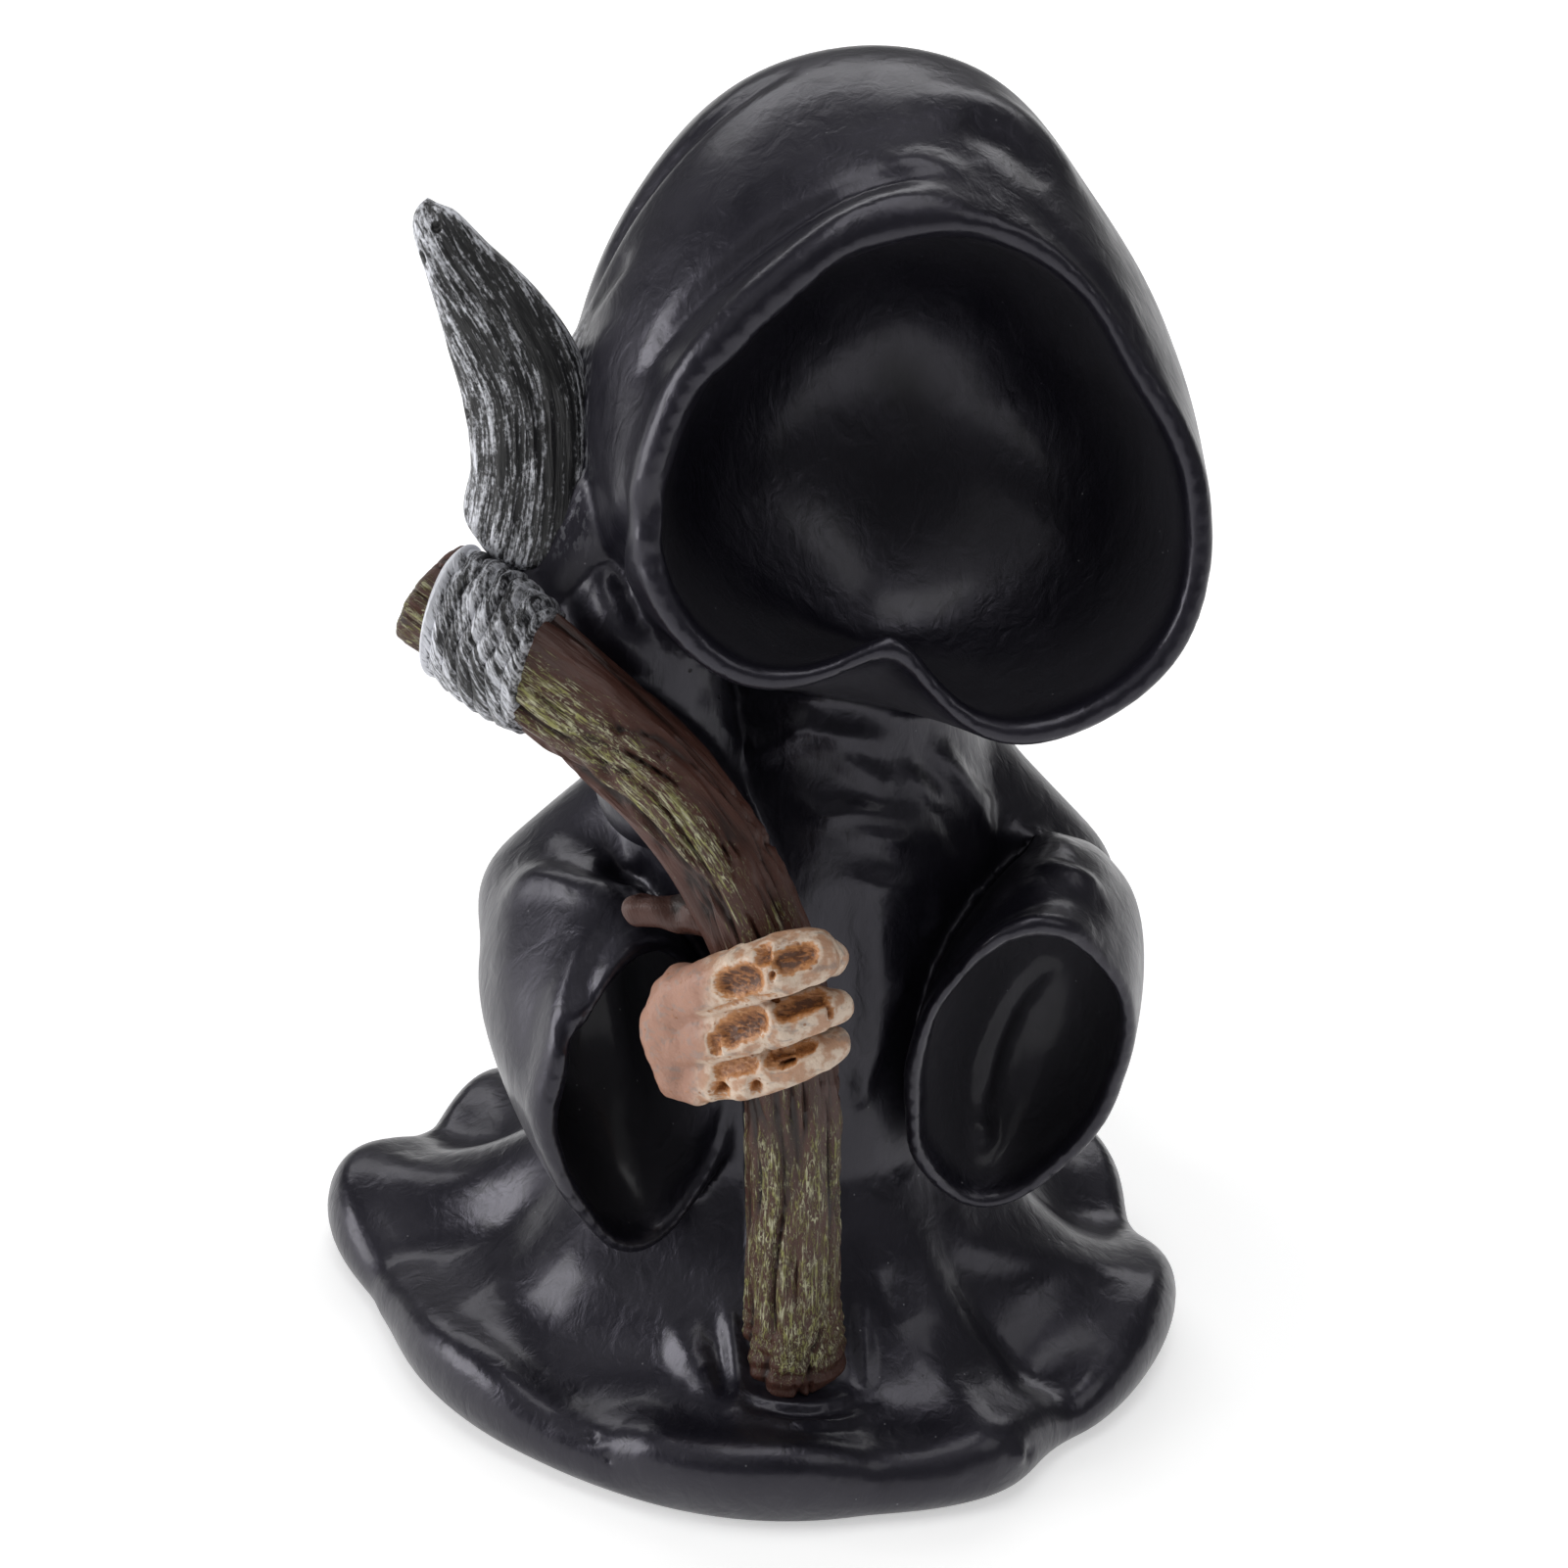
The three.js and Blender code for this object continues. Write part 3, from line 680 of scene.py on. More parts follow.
def black_lacquer():
    paint, tree, shader = new_paint("black_lacquer")
    place = lay(tree)
    cloudy = noise(tree, place, (7, 7, 9))
    brushed = noise(tree, place, (0.35, 0.35, 5), 4, 0.6)
    grain = noise(tree, place, (0.5, 0.5, 0.5), 2)
    pits = specks(tree, place, 9.0, 0.0, 0.026)
    dust = specks(tree, place, 3.0, 0.0, 0.045)
    strays = sums(tree, "MULTIPLY", laid(tree, "depth_and_stray_silver"), step_up(tree, noise(tree, place, (0.5, 0.5, 1.2)), 0.5, 0.62))
    # Inside the hood and the sleeves the black is painted lighter: painted light in the hollows.
    colour = blend(tree, laid(tree, "tint_and_inner_light"), LACQUER_BLACK, INNER_BLACK_WITH_PAINTED_LIGHT)
    colour = blend(tree, sums(tree, "MULTIPLY", dust, 0.55), colour, DUST)
    colour = blend(tree, strays, colour, SILVER)
    gloss = step_up(tree, cloudy, 0.3, 0.7, 0.28, 0.42)
    gloss = sums(tree, "ADD", gloss, sums(tree, "MULTIPLY", brushed, 0.08))
    gloss = sums(tree, "ADD", gloss, sums(tree, "MULTIPLY", laid(tree, "tint_and_inner_light"), INNER_DULLNESS))
    sagged = noise(tree, place, (1.9, 1.9, 3.2), 3, 0.5, 0.6)
    height = sums(tree, "ADD", sums(tree, "MULTIPLY", brushed, 0.4), sums(tree, "MULTIPLY", grain, 0.3))
    height = sums(tree, "ADD", height, sums(tree, "MULTIPLY", sagged, 4))
    height = sums(tree, "SUBTRACT", height, sums(tree, "MULTIPLY", pits, 6))
    shader.inputs["Specular IOR Level"].default_value = 0.42
    shader.inputs["Specular Tint"].default_value = LACQUER_SHEEN
    shader.inputs["Coat Weight"].default_value = 0.3
    shader.inputs["Coat Roughness"].default_value = 0.2
    finish_paint(tree, shader, colour, gloss, height, 0.04)
    return paint


figure.data.materials.append(black_lacquer())


# The shaft itself: a branch with three flats that turn as they go up, long grooves in its bark, a
# spread foot and, above the hand, the stub of a side branch. It is painted dark brown and then rubbed
# with yellow green along its ridges. Down in its grooves the brown is darkened as painted shade.
SHAFT_RADIUS = 4.5
SHAFT_END_SWELL = 0.8
SHAFT_FLATS = (3, 0.05, 14)
SHAFT_EDGE = 1.3
FOOT_SPREAD = 0.6
FOOT_RIPPLE = 0.12
FOOT_RIPPLE_LENGTH = 1.6
BARK_DEPTH = 0.8
BARK_WIDTH = 1.6
BARK_LENGTH = 16
STUB = ((-11, -29.5, 61), (-18.6, -25.4, 59.4), 2.4, 1.7)


def round_off(place, start, end, edge):
    """Rounds both ends of a stretch of shaft over an edge in mm."""
    near = np.minimum(place - start, end - place) * shaft_length / edge
    return np.sqrt(np.clip(1 - np.clip(1 - near, 0, 1) ** 2, 0, 1))


def bark(angle, place):
    """Height of the bark in mm: ridges and narrow grooves along the branch."""
    round_about = np.stack([np.cos(angle), np.sin(angle)], -1) * SHAFT_RADIUS / BARK_WIDTH
    along = place[..., None] * shaft_length / BARK_LENGTH
    drift = unevenness(np.concatenate([round_about, along * 3], -1).reshape(-1, 3), 2.5, 11)
    drift = drift.reshape(angle.shape + (1,))
    field = np.concatenate([round_about + drift * 0.7, along + drift], -1).reshape(-1, 3)
    groove = np.abs(unevenness(field, 1, 12)) + 0.5 * np.abs(unevenness(field * 2.1, 1, 13))
    fine = unevenness(field * (3.2, 3.2, 5), 1, 14)
    return (np.minimum(groove * 2.2, 1) - 1 + 0.18 * fine).reshape(angle.shape)


def shaft_radius(angle, place):
    number, depth, twist = SHAFT_FLATS
    radius = SHAFT_RADIUS + SHAFT_END_SWELL * place**4 + FOOT_SPREAD * bell(place, 0.05)
    radius = radius * (1 + depth * np.cos(number * angle + twist * place))
    ripple = np.sin(place * shaft_length / FOOT_RIPPLE_LENGTH * 2 * np.pi + 2.5 * np.sin(2 * angle + 1))
    radius = radius + FOOT_RIPPLE * ripple * step(0.12, 0.05, place)
    return (radius + BARK_DEPTH * bark(angle, place)) * round_off(place, 0, 1, SHAFT_EDGE)


shaft = mesh_of("shaft", [along_shaft(0, 1, count(520), count(110), shaft_radius)])
stub = mesh_of("stub", [limb_skin(*STUB)])
spots = spots_of(stub)
move_to(stub, spots + normals_of(stub) * (0.5 * unevenness(spots, 1.8, 15) - 0.2)[:, None])
BARK_BROWN = (0.068, 0.026, 0.018, 1)
# A darker brown for random patches, and for the painted shade down in the grooves of the bark.
BARK_DARK_AND_GROOVE_SHADE = (0.018, 0.009, 0.007, 1)
MOSS_GREEN = (0.27, 0.27, 0.09, 1)
MOSS_PALE = (0.48, 0.47, 0.31, 1)


def rubbed_branch():
    paint, tree, shader = new_paint("rubbed_branch")
    place = lay(tree)
    height = laid(tree, "depth_and_stray_silver")
    tangle = noise(tree, place, (0.3, 0.3, 1.1), 4, 0.62, 1.6)
    threads = noise(tree, place, (0.2, 0.2, 3.2), 3, 0.6, 0.3)
    patches = noise(tree, place, (3.5, 3.5, 8), 2)
    strokes = sums(tree, "MAXIMUM", tangle, sums(tree, "MULTIPLY", threads, 0.97))
    caught = sums(tree, "ADD", strokes, sums(tree, "MULTIPLY", height, 0.12))
    caught = sums(tree, "ADD", caught, sums(tree, "MULTIPLY", patches, 0.14))
    caught = sums(tree, "ADD", caught, sums(tree, "MULTIPLY", laid(tree, "tint_and_inner_light"), 0.28))
    rubbed = step_up(tree, caught, 0.80, 0.94)
    # Down in the grooves of the bark the brown is darkened: painted shade.
    brown = blend(tree, step_up(tree, height, -0.35, -0.85), BARK_BROWN, BARK_DARK_AND_GROOVE_SHADE)
    brown = blend(tree, step_up(tree, patches, 0.35, 0.7, 0, 0.35), brown, BARK_DARK_AND_GROOVE_SHADE)
    green = blend(tree, step_up(tree, noise(tree, place, (0.6, 0.6, 1.6)), 0.4, 0.6), MOSS_GREEN, MOSS_PALE)
    colour = blend(tree, sums(tree, "MULTIPLY", rubbed, 0.86), brown, green)
    gloss = sums(tree, "ADD", 0.42, sums(tree, "MULTIPLY", rubbed, 0.16))
    relief = sums(tree, "ADD", sums(tree, "MULTIPLY", threads, 0.6), sums(tree, "MULTIPLY", rubbed, 0.5))
    shader.inputs["Specular IOR Level"].default_value = 0.35
    finish_paint(tree, shader, colour, gloss, relief, 0.14)
    return paint


branch_paint = rubbed_branch()
shaft.data.materials.append(branch_paint)
stub.data.materials.append(branch_paint)

# The socket, modelled as a wrapping of strips round the end of the shaft. It is black, with silver
# brushed across it.
SOCKET_SPAN = (0.853, 0.974)
SOCKET_SLANT = 0.018
SOCKET_RIM = 0.55
SOCKET_RADIUS = 6.3
SOCKET_SWELL = 0.9
SOCKET_EDGE = 1.1
WRAPS = 7
WRAP_DEPTH = 0.42
WRAP_SLANT = 1.2
# Where its black shows through: pixels across and down, mm in front of the figure's middle, reach in mm
# and how bare it is.
SOCKET_BARE = [(515, 585, 27, 3.5, 0.5), (447, 657, 27, 1, 0.9), (490, 690, 27, 2.2, 0.35)]


def socket_radius(angle, place):
    start, end = SOCKET_SPAN
    share = np.clip((place - start) / (end - start), 0, 1)
    radius = SOCKET_RADIUS - SOCKET_SWELL * (1 - np.sin(np.pi * share))
    field = np.stack([np.cos(angle) * 2.2, np.sin(angle) * 2.2, share * 3], -1).reshape(-1, 3)
    drift = unevenness(field, 1.2, 21).reshape(angle.shape)
    strip = np.abs(np.sin(np.pi * (share * WRAPS + 0.45 * drift + 0.12 * np.sin(angle))))
    torn = unevenness(field * (1, 1, 9), 0.8, 22).reshape(angle.shape)
    wrapped = 1 - bell(share - 1, 0.12)
    radius = radius + WRAP_DEPTH * wrapped * (np.sqrt(strip) - 1 + 0.35 * torn) + SOCKET_RIM * bell(share - 0.95, 0.05)
    return radius * round_off(place, start, end, SOCKET_EDGE)


socket = mesh_of("socket", [along_shaft(*SOCKET_SPAN, count(170), count(230), socket_radius, SOCKET_SLANT)])
UNDER_SILVER = (0.012, 0.012, 0.013, 1)


def brushed_silver(name, streaks, specked):
    """Silver caught on the ridges of black: the sizes of its streaks and specks, in mm."""
    paint, tree, shader = new_paint(name)
    place = lay(tree)
    long = noise(tree, place, streaks, 4, 0.6, 0.35)
    short = noise(tree, place, specked, 3, 0.65)
    broad = noise(tree, place, tuple(4 * size for size in streaks), 2)
    caught = sums(tree, "ADD", sums(tree, "MULTIPLY", long, 0.62), sums(tree, "MULTIPLY", short, 0.38))
    caught = sums(tree, "ADD", caught, sums(tree, "MULTIPLY", laid(tree, "depth_and_stray_silver"), 0.10))
    caught = sums(tree, "ADD", caught, sums(tree, "MULTIPLY", broad, 0.3))
    caught = sums(tree, "ADD", caught, sums(tree, "MULTIPLY", laid(tree, "tint_and_inner_light"), 0.34))
    silver = step_up(tree, caught, 0.80, 1.0)
    colour = blend(tree, silver, UNDER_SILVER, SILVER)
    gloss = step_up(tree, silver, 0, 1, 0.3, 0.46)
    relief = sums(tree, "ADD", long, sums(tree, "MULTIPLY", silver, 0.4))
    finish_paint(tree, shader, colour, gloss, relief, 0.16, 1.0, sums(tree, "MULTIPLY", silver, 0.35))
    return paint


socket.data.materials.append(brushed_silver("silver_wrapping", (2.6, 2.6, 0.42), (0.35, 0.35, 0.3)))

# The scythe's blade, a thick leaf with a rounded butt, a hollow front edge and a point. It is cast
# standing on the socket, and is black, with silver brushed along it.
BLADE_MIDDLE = (-31, -9, 98)
BLADE_FACES = (-0.1, -0.97, 0.2)
BLADE_LINE = [
    (1.2, -12.9), (2, -8), (2.4, -2), (1.7, 4.7), (-1, 10.3), (-4.5, 15.6), (-6.9, 19.4), (-7.4, 21.2),
]
BLADE_HALF_WIDTHS = [0, 5.1, 5.2, 5.6, 4.8, 3.1, 1.9, 0]
BLADE_THICKNESS = 5
BLADE_FULL_THICKNESS_AT = 3
BLADE_RELIEF = 0.16
# A slot and two pits, as the folds are given.
BLADE_MARKS = [(-0.4, 0.5, [(431, 262), (431, 280)]), (-0.35, 0.4, [(476, 422)]), (-0.35, 0.4, [(446, 232)])]


def blade_skin():
    right, up, out = facing(BLADE_FACES)
    t = np.linspace(0, 1, count(260))
    line = through(BLADE_LINE, t)
    way = np.gradient(line, axis=0)
    way = way / np.linalg.norm(way, axis=1)[:, None]
    half = through(np.array(BLADE_HALF_WIDTHS)[:, None], t)[:, 0].clip(0)
    angle = (np.arange(count(150)) / count(150) * 2 * np.pi)[None]
    across = half[:, None] * np.cos(angle)
    thick = np.abs(np.sin(angle)) ** 0.8 * np.sign(np.sin(angle)) * BLADE_THICKNESS / 2
    thick = thick * np.minimum(1, half / BLADE_FULL_THICKNESS_AT)[:, None]
    run = np.broadcast_to(t[:, None] * 34, across.shape)
    field = np.stack([run / 6, across * 1.3, thick * 0.8], -1).reshape(-1, 3)
    scored = 1 - 2 * np.abs(unevenness(field, 1, 31)) + 0.6 * unevenness(field * 2.3, 1, 32)
    thick = thick + np.sign(np.sin(angle)) * BLADE_RELIEF * scored.reshape(across.shape) * \
        np.minimum(1, np.abs(thick)) * np.minimum(1, half)[:, None]
    rows = np.array(BLADE_MIDDLE) + right * (line[:, 0, None] + across * way[:, 1, None])[..., None]
    rows = rows + up * (line[:, 1, None] - across * way[:, 0, None])[..., None] + out * thick[..., None]
    rows[0] = rows[0].mean(0)
    rows[-1] = rows[-1].mean(0)
    return skin(rows)


blade = mesh_of("blade", [blade_skin()])
spots, normals = spots_of(blade), normals_of(blade)
marked = pressed(spots, normals, drawn_on(blade, BLADE_MARKS), 4, False)
blade_spots = spots + normals * marked[:, None]
move_to(blade, blade_spots)
blade.data.materials.append(brushed_silver("silver_blade", (0.32, 0.5, 3.4), (0.28, 0.28, 0.45)))

# The hand, bare finger bones closed round the shaft, with the back of the hand inside the cuff. It is
# painted pale bone, with a brown wash left in the hollows of each bone.
# Joints are placed by where the photo shows them: pixels across and down, how far in front of the
# figure's middle they are, and their half thickness, in mm.
FINGERS = [
    [(690, 1018, 32.5, 2.2), (728, 1006, 35.8, 2.6), (762, 995, 37.3, 2.6), (797, 984, 37.9, 2.6),
        (830, 976, 37.5, 2.4), (848, 978, 36.2, 1.6)],
    [(684, 1062, 32.5, 2.3), (728, 1058, 35.8, 2.35), (762, 1050, 37.3, 2.35), (797, 1041, 37.9, 2.3),
        (832, 1031, 37.5, 2.0), (856, 1027, 36.4, 1.4)],
    [(692, 1098, 32.5, 2.1), (735, 1100, 35.6, 2.1), (770, 1096, 37.0, 2.1), (805, 1085, 37.6, 1.9),
        (838, 1073, 37.4, 1.7), (853, 1066, 36.5, 1.45)],
    [(703, 1106, 33.0, 1.7), (714, 1114, 34.8, 1.35)],
]
HAND_BACK = [(700, 1012, 33.5, 2.5), (682, 1048, 33, 2.6), (696, 1092, 33, 2.5)]
HAND_ROOT = [(704, 1052, 33, 3.4), (712, 1060, 18, 4.5)]
# Sunken hollows that hold the wash, and then creases, gaps and round tips, as the folds are given.
HAND_HOLLOWS = [
    (-1.1, 1.45, [(744, 1007), (761, 1001)]), (-0.7, 0.75, [(779, 968), (779, 978)]),
    (-1, 1.2, [(803, 982), (821, 974)]), (-1.1, 1.3, [(742, 1056), (768, 1044)]),
    (-0.6, 0.6, [(727, 1062), (730, 1073)]), (-0.9, 1.05, [(803, 1031), (836, 1017)]),
    (-0.45, 0.8, [(735, 1094), (766, 1087)]), (-0.55, 0.9, [(790, 1082), (824, 1067)]),
    (-1, 0.4, [(799, 1088), (808, 1084)]), (-0.7, 0.3, [(848, 1030), (849, 1038)]),
    (-0.6, 0.3, [(788, 996), (792, 1020)]),
]
HAND_GAPS = [
    (-0.5, 0.45, [(716, 1036), (756, 1026), (796, 1015), (850, 1000)]),
    (-0.5, 0.45, [(716, 1086), (756, 1080), (796, 1071), (852, 1046)]),
    (-1.5, 0.55, [(771, 1106), (772, 1120)]), (-1.9, 0.75, [(735, 1108), (735, 1124)]),
    (-0.5, 0.3, [(783, 1072), (785, 1074)]),
]
FINGER_SQUARE = 2.6
HAND_GRAIN = 0.2


def in_front(x, y, forward):
    """The point seen at a place on the picture, so far in front of the figure's middle."""
    turn = math.radians(VIEW_TURN)
    ahead = Vector((math.sin(turn), -math.cos(turn), 0))
    way = sight(x, y)
    return viewer + way * ((forward - viewer.dot(ahead)) / way.dot(ahead))


def hand_skins():
    bones = []
    for joints in FINGERS + [HAND_BACK, HAND_ROOT]:
        for start, end in zip(joints, joints[1:]):
            ends = in_front(*start[:3]), in_front(*end[:3])
            bones.append(limb_skin(*ends, start[3], end[3], 48, 16, FINGER_SQUARE))
    return bones


hand = fuse(mesh_of("hand", hand_skins()), HAND_GRAIN, 5)
even_out(hand, step(-12.6, -14.2, spots_of(hand)[:, 0]), 30)
spots, normals = spots_of(hand), normals_of(hand)
sunk = pressed(spots, normals, drawn_on(hand, HAND_HOLLOWS), 4, False)
gaps = pressed(spots, normals, drawn_on(hand, HAND_GAPS))
uneven = 0.09 * unevenness(spots, 0.9, 41) + 0.12 * unevenness(spots, 2.3, 42)
hand_spots = spots + normals * (sunk + gaps + uneven)[:, None]
move_to(hand, hand_spots)
BONE_CREAM = (0.46, 0.265, 0.165, 1)
BONE_WHITE = (0.65, 0.52, 0.41, 1)
BONE_PINK = (0.37, 0.195, 0.135, 1)
BONE_SHADE = (0.24, 0.20, 0.18, 1)
WASH_AMBER = (0.47, 0.20, 0.06, 1)
WASH_BROWN = (0.26, 0.095, 0.025, 1)
WASH_DARK = (0.10, 0.035, 0.012, 1)
PAINT_EDGE = -27


def washed_bone():
    paint, tree, shader = new_paint("washed_bone")
    place = lay(tree)
    sunken = laid(tree, "depth_and_stray_silver")
    mottle = noise(tree, place, (1.6, 1.6, 1.6), 3)
    fine = noise(tree, place, (0.45, 0.45, 0.45), 3)
    streaked = noise(tree, place, (1.3, 0.5, 0.35), 3, 0.6, 0.6)
    colour = blend(tree, step_up(tree, mottle, 0.40, 0.58), BONE_CREAM, BONE_WHITE)
    colour = blend(tree, laid(tree, "tint_and_inner_light"), colour, BONE_PINK)
    shade = step_up(tree, noise(tree, place, (2.2, 0.9, 1.1), 3, 0.6, 0.5), 0.53, 0.66, 0, 0.55)
    colour = blend(tree, shade, colour, BONE_SHADE)
    rim = sums(tree, "MULTIPLY", step_up(tree, sunken, 0.0, 0.05), step_up(tree, sunken, 0.25, 0.1))
    colour = blend(tree, sums(tree, "MULTIPLY", rim, 0.7), colour, BONE_WHITE)
    edge = sums(tree, "ADD", sunken, sums(tree, "MULTIPLY", sums(tree, "SUBTRACT", fine, 0.5), 0.7))
    streaks = sums(tree, "MULTIPLY", sums(tree, "SUBTRACT", streaked, 0.44), sums(tree, "ADD", sunken, 0.25))
    edge = sums(tree, "ADD", edge, sums(tree, "MULTIPLY", streaks, 2.4))
    colour = blend(tree, step_up(tree, edge, 0.1, 0.42, 0, 0.92), colour, WASH_AMBER)
    colour = blend(tree, step_up(tree, edge, 0.4, 0.85, 0, 0.95), colour, WASH_BROWN)
    colour = blend(tree, step_up(tree, edge, 0.9, 1.25), colour, WASH_DARK)
    spots_near = step_up(tree, sunken, 0.01, 0.08)
    spots_near = sums(tree, "MAXIMUM", spots_near, step_up(tree, mottle, 0.58, 0.66))
    flecks = sums(tree, "MULTIPLY", specks(tree, place, 0.8, 0.12, 0.26), spots_near)
    colour = blend(tree, sums(tree, "MULTIPLY", flecks, 0.8), colour, WASH_BROWN)
    deep = put(tree, "SeparateXYZ", {0: place}).outputs["Y"]
    ragged = sums(tree, "MULTIPLY", noise(tree, place, (2.4, 1, 0.55), 3), 2.2)
    painted = step_up(tree, sums(tree, "ADD", deep, ragged), PAINT_EDGE + 1, PAINT_EDGE + 0.8)
    colour = blend(tree, painted, LACQUER_BLACK, colour)
    gloss = sums(tree, "ADD", 0.38, sums(tree, "MULTIPLY", fine, 0.16))
    finish_paint(tree, shader, colour, gloss, sums(tree, "ADD", fine, mottle), 0.12)
    return paint


hand.data.materials.append(washed_bone())
thin_out(hand, 26000)
thin_out(shaft, 46000)
thin_out(blade, 16000)
thin_out(socket, 18000)

# Everything is one casting, so the pieces are joined into a single closed skin, each keeping its paint.
for piece in (shaft, stub, socket, blade, hand):
    join = figure.modifiers.new("join", "BOOLEAN")
    join.operation = "UNION"
    join.solver = "MANIFOLD"
    join.object = piece
    join.material_mode = "TRANSFER"
settle(figure)
for piece in (shaft, stub, socket, blade, hand):
    bpy.data.objects.remove(piece)


def near_shaft(spots):
    """Across, forward and along the shaft from its foot, and the share of its length, of some points."""
    nearest = np.concatenate([
        ((part[:, None] - shaft_spots[None]) ** 2).sum(2).argmin(1)
        for part in np.array_split(spots, max(1, len(spots) // 2000))
    ])
    away = spots - shaft_spots[nearest]
    across = np.einsum("ij,ij->i", away, shaft_sides[nearest])
    forward = np.einsum("ij,ij->i", away, shaft_fronts[nearest])
    share = nearest / (len(shaft_spots) - 1)
    along = share * shaft_length + np.einsum("ij,ij->i", away, shaft_ways[nearest])
    return np.stack([across, forward, along], 1), share


def near_blade(spots):
    """Across, through and along the blade, and shares of its half width and its length."""
    right, up, out = facing(BLADE_FACES)
    t = np.linspace(0, 1, 200)
    line = through(BLADE_LINE, t)
    half = through(np.array(BLADE_HALF_WIDTHS)[:, None], t)[:, 0].clip(0.5)
    way = np.gradient(line, axis=0)
    way = way / np.linalg.norm(way, axis=1)[:, None]
    run = np.concatenate([[0], np.cumsum(np.linalg.norm(np.diff(line, axis=0), axis=1))])
    away = spots - np.array(BLADE_MIDDLE)
    flat = np.stack([away @ right, away @ up], 1)
    nearest = ((flat[:, None] - line[None]) ** 2).sum(2).argmin(1)
    off = flat - line[nearest]
    across = off[:, 0] * way[nearest, 1] - off[:, 1] * way[nearest, 0]
    return np.stack([across, away @ out, run[nearest]], 1), across / half[nearest], t[nearest]


def nearest_of(known, values, spots):
    """The value kept at the nearest of some known points."""
    tree = kdtree.KDTree(len(known))
    for i, spot in enumerate(known):
        tree.insert(spot, i)
    tree.balance()
    return values[[tree.find(spot)[1] for spot in spots]]


def inside_of(spots, middle, axes, radii, inward, hollow, fullness):
    """1 for points on the inside of a hood or sleeve, and 0 elsewhere."""
    right, up, out = axes
    away = spots - np.array(middle)
    share = (away @ out) / (inward @ out) / hollow
    away = away - share[:, None] * hollow * inward
    across, high = away @ right, away @ up
    edge = round_the_turn(radii, np.arctan2(high, across) / (2 * np.pi) % 1)
    edge = edge * np.clip(1 - share**2, 0, 1) ** (fullness / 2)
    return step(0.03, 0.2, share) * step(1.25, 1.1, share) * step(1.3, 0.3, np.hypot(across, high) - edge)


# Where the inside of the hood and the sleeves is painted lighter, as painted light.
def insides(spots):
    tilt = math.radians(HOOD_TILT)
    axes = facing((0, -math.cos(tilt), math.sin(tilt)), -math.radians(HOOD_LEAN))
    found = inside_of(spots, HOOD_FRONT, axes, HOOD_OPENING, -axes[2], HOOD_HOLLOW, 1)
    for sleeve in (GRIP_SLEEVE, FREE_SLEEVE):
        back = np.subtract(sleeve["elbow"], sleeve["cuff"])
        inward = back / np.linalg.norm(back)
        radii = np.array(sleeve["radii"]) - sleeve["lip"]
        axes = facing(sleeve["faces"])
        inner = inside_of(spots, sleeve["cuff"], axes, radii, inward, sleeve["hollow"], sleeve["fullness"])
        found = np.maximum(found, inner)
    return found


def lay_of_piece(name, spots):
    """For each point of one paint: its place along the brush strokes, its depth or its stray silver, and its tint,
    which on the lacquer is painted light inside the hood and the sleeves.
    """
    if name == "rubbed_branch":
        place, share = near_shaft(spots)
        angle = np.arctan2(place[:, 1], place[:, 0])
        strip = bell(apart(np.degrees(angle), STRIP_AT), STRIP_HALF) * (0.6 + 0.4 * step(0.56, 0.68, share))
        lower = step(0.42, 0.3, share)
        lump = bell(np.linalg.norm(spots - np.array(in_front(*MOSS_LUMP)), axis=1), MOSS_LUMP_REACH)
        green = strip * (1 - lower) + LOWER_SHAFT_GREEN * lower * step(0, 0.05, share)
        bare = step(7.5, 6.5, np.hypot(place[:, 0], place[:, 1]))
        return place, bare * bark(angle, share), bare * np.maximum(green, 1.15 * lump)
    if name == "silver_wrapping":
        place, share = near_shaft(spots)
        lean = share - SOCKET_SLANT * place[:, 0] / SOCKET_RADIUS
        rim = bell(lean - SOCKET_SPAN[1] + 0.006, 0.009)
        place[:, 2] -= WRAP_SLANT * place[:, 0]
        caught = 0.72 + 0.7 * rim
        for x, y, forward, reach, bare in SOCKET_BARE:
            away = np.linalg.norm(spots - np.array(in_front(x, y, forward)), axis=1)
            caught = caught - bare * bell(away, reach)
        return place, np.zeros(len(spots)), caught
    if name == "silver_blade":
        place, across, along = near_blade(spots)
        dense = 0.41 - 0.14 * bell(across - 0.6, 0.3) + 0.22 * bell(across + 1, 0.5) + 0.35 * bell(along, 0.16) + 0.3 * bell(along - 1, 0.3)
        marks = nearest_of(blade_spots, marked, spots)
        return place, 20 * np.minimum(marks, 0), dense + 0.2 * bell(across - 1, 0.2)
    if name == "washed_bone":
        sunken = np.clip(-nearest_of(hand_spots, sunk + 0.4 * gaps, spots) / 0.8, 0, 1)
        return spots, sunken, step(-12.8, -14.6, spots[:, 0])
    # On the lacquer: stray silver beside the blade, and the insides of the hood and sleeves, where light is painted
    # in.
    start, end = np.array(WEBS[3][0]), np.array(WEBS[3][1])
    share = np.clip((spots - start) @ (end - start) / ((end - start) @ (end - start)), 0, 1)
    away = np.linalg.norm(spots - start - share[:, None] * (end - start), axis=1)
    return spots, np.clip(1.3 * bell(away, 5.2) - 0.25, 0, 1), insides(spots)


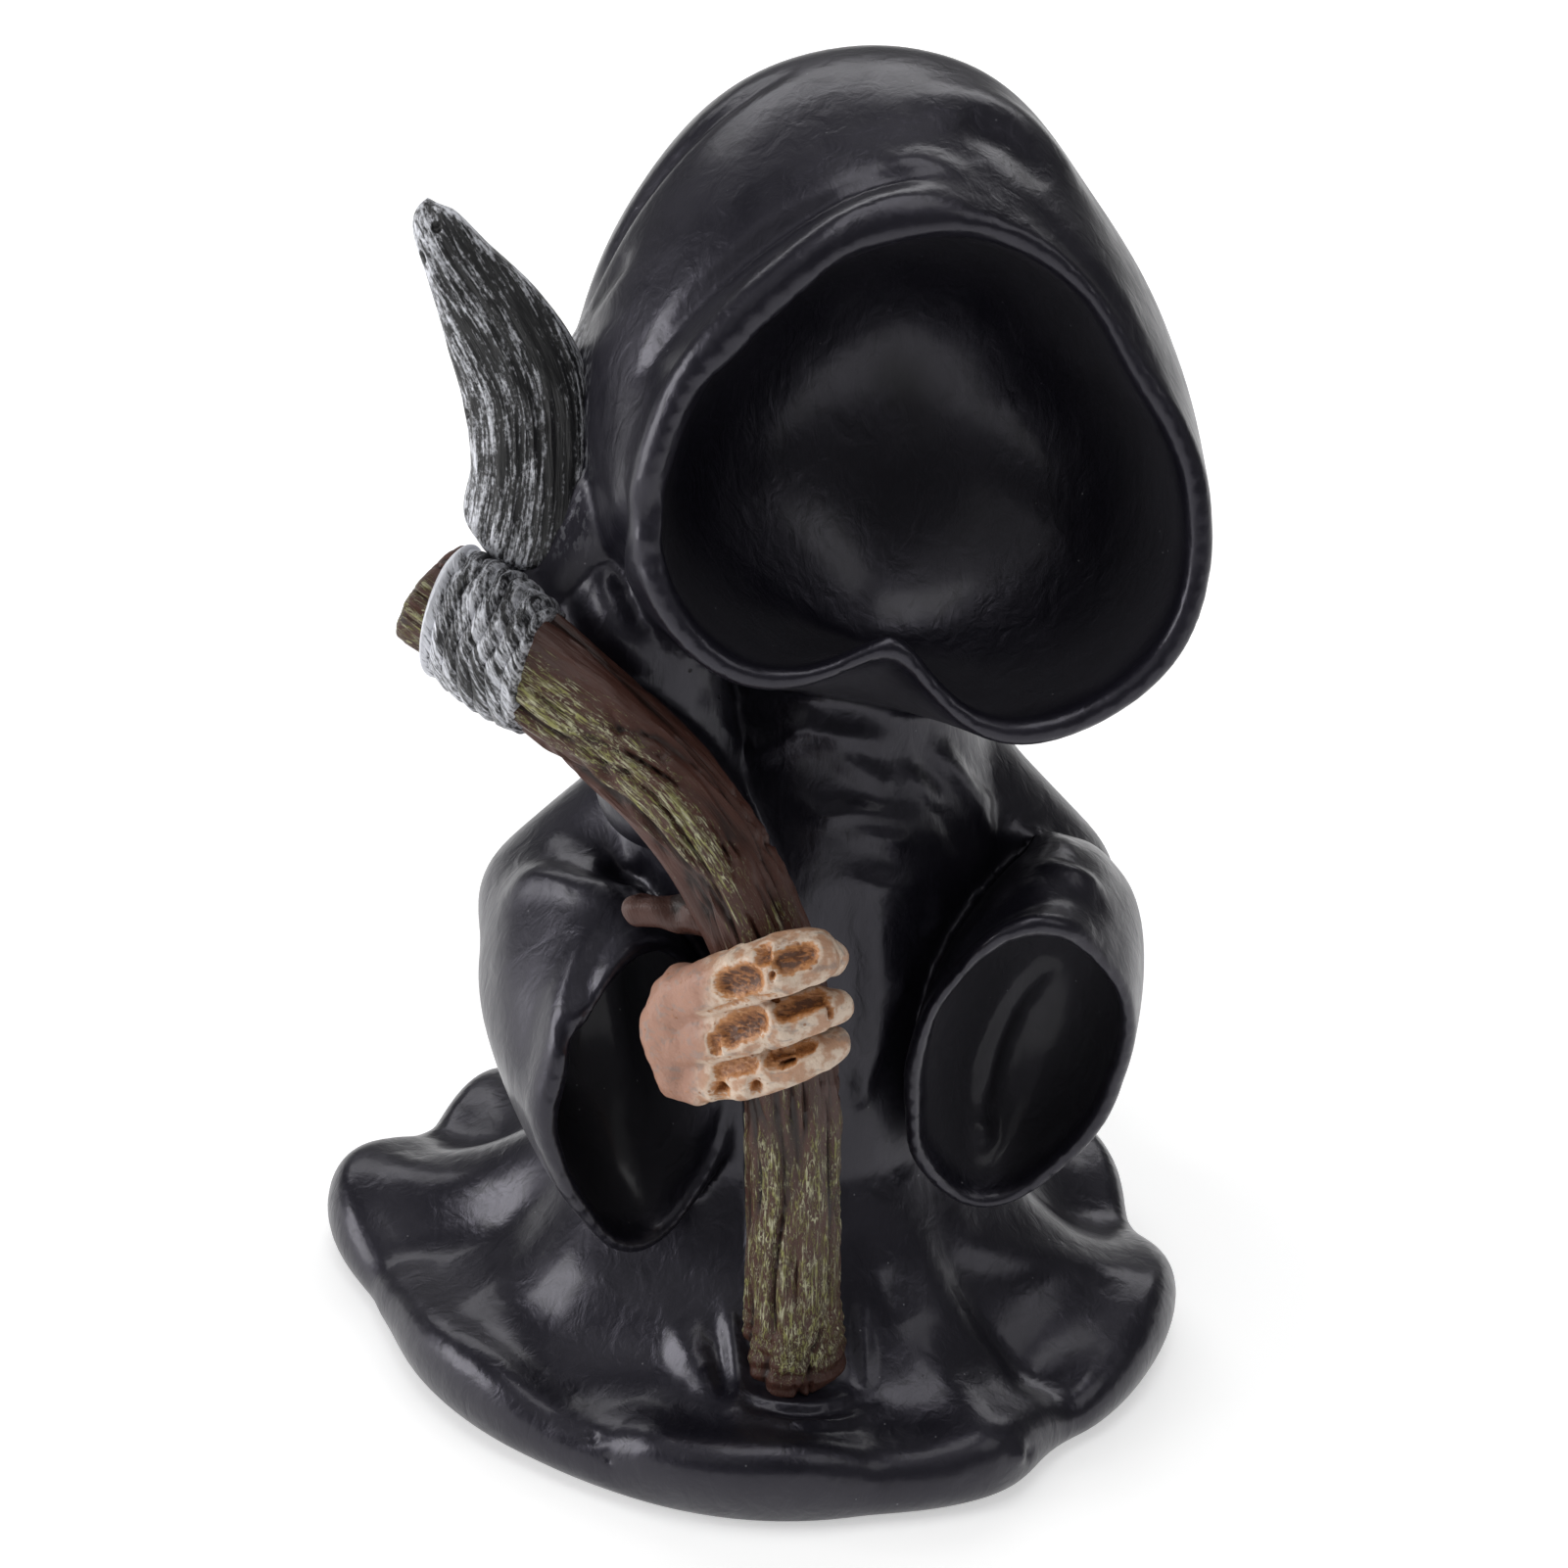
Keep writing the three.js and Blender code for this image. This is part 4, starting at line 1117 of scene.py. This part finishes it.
STRIP_AT = 99
STRIP_HALF = 58
LOWER_SHAFT_GREEN = 0.85
MOSS_LUMP = (810, 938, 35.5)
MOSS_LUMP_REACH = 3.6
skin_mesh = figure.data
corner_points = np.empty(len(skin_mesh.loops), int)
skin_mesh.loops.foreach_get("vertex_index", corner_points)
face_corners = np.empty(len(skin_mesh.polygons), int)
skin_mesh.polygons.foreach_get("loop_total", face_corners)
face_paint = np.empty(len(skin_mesh.polygons), int)
skin_mesh.polygons.foreach_get("material_index", face_paint)
corner_paint = np.repeat(face_paint, face_corners)
joined_spots = spots_of(figure)
values = {"lay": np.zeros((len(corner_points), 3)), "depth_and_stray_silver": np.zeros(len(corner_points))}
values["tint_and_inner_light"] = np.zeros(len(corner_points))
for i, paint in enumerate(skin_mesh.materials):
    here = (corner_paint == i).nonzero()[0]
    points, back_to = np.unique(corner_points[here], return_inverse=True)
    if len(points):
        for name, value in zip(values, lay_of_piece(paint.name, joined_spots[points])):
            values[name][here] = value[back_to]
for name, kind, key in (("lay", "FLOAT_VECTOR", "vector"), ("depth_and_stray_silver", "FLOAT", "value"), ("tint_and_inner_light", "FLOAT", "value")):
    layer = skin_mesh.attributes.new(name, kind, "CORNER")
    layer.data.foreach_set(key, np.ascontiguousarray(values[name], np.float32).ravel())

# The finished casting, moved so that the middle of its outline is over the origin, in metres.
OUTLINE_MIDDLE = (-2.015, -0.368, 0)
move_to(figure, (spots_of(figure) - OUTLINE_MIDDLE) / 1000)
figure.data.shade_smooth()
figure.data.set_sharp_from_angle(angle=math.radians(50))
# The lacquered cloth keeps the smooth shading that it had before its faces were made fewer.
soft = np.zeros((len(corner_points), 3))
lacquered = corner_paint == skin_mesh.materials.find("black_lacquer")
points, back_to = np.unique(corner_points[lacquered], return_inverse=True)
soft[lacquered] = nearest_of(cloth_spots, cloth_normals, joined_spots[points])[back_to]
figure.data.normals_split_custom_set(soft.tolist())
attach(figure, "root")
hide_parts("figurine")

# The camera stands at the photo's view.
camera = bpy.data.objects.new("photo_view", bpy.data.cameras.new("photo_view"))
camera.data.angle = math.radians(VIEW_ANGLE)
camera.data.clip_start = 0.01
turned = Matrix((view_right, view_up, view_back)).transposed().to_4x4()
camera.matrix_world = Matrix.Translation((viewer - Vector(OUTLINE_MIDDLE)) / 1000) @ turned
bpy.context.scene.collection.objects.link(camera)
bpy.context.scene.camera = camera
bpy.context.scene.view_settings.view_transform = "Standard"

# A pale floor, and the soft light of a white studio: panels overhead, behind and at both sides.
FLOOR_REACH = 3
FLOOR_GLOW = 0.55
FLOOR_WHITE = (0.86, 0.86, 0.86, 1)
ROOM_LIGHT = 0.1
LIGHTS_AWAY = 0.9
LIGHTS_AIM = (0, 0, 0.06)
# Each panel: its bearing from the front and its rise in degrees, its breadth and height, and its power.
PANELS = {
    "overhead": (0, 80, 0.5, 0.5, 2.2), "left": (272, 12, 0.5, 0.5, 4.8),
    "behind": (178, 42, 1.4, 0.36, 3.8), "right": (50, 42, 0.4, 0.4, 0.8),
    "front": (320, 50, 0.8, 0.8, 0.7),
}

bpy.ops.mesh.primitive_plane_add(size=FLOOR_REACH * 2)
floor = bpy.context.object
floor.name = "floor"
floor_paint = bpy.data.materials.new("white_floor")
floor_paint.use_nodes = True
floor_paint.node_tree.nodes["Principled BSDF"].inputs["Base Color"].default_value = FLOOR_WHITE
floor_paint.node_tree.nodes["Principled BSDF"].inputs["Roughness"].default_value = 0.9
floor_paint.node_tree.nodes["Principled BSDF"].inputs["Emission Color"].default_value = FLOOR_WHITE
floor_paint.node_tree.nodes["Principled BSDF"].inputs["Emission Strength"].default_value = FLOOR_GLOW
floor.data.materials.append(floor_paint)

for name, (bearing, rise, wide, high, power) in PANELS.items():
    bearing, rise = math.radians(bearing), math.radians(rise)
    way = Vector((math.sin(bearing) * math.cos(rise), -math.cos(bearing) * math.cos(rise), math.sin(rise)))
    lamp = bpy.data.lights.new(name, "AREA")
    lamp.shape = "RECTANGLE"
    lamp.size = wide
    lamp.size_y = high
    lamp.energy = power
    panel = bpy.data.objects.new(name, lamp)
    panel.location = Vector(LIGHTS_AIM) + way * LIGHTS_AWAY
    panel.rotation_euler = (-way).to_track_quat("-Z", "Y").to_euler()
    bpy.context.scene.collection.objects.link(panel)

world = bpy.data.worlds.new("studio")
world.use_nodes = True
tree = world.node_tree
tree.nodes["Background"].inputs["Color"].default_value = (1, 1, 1, 1)
tree.nodes["Background"].inputs["Strength"].default_value = ROOM_LIGHT
bpy.context.scene.world = world
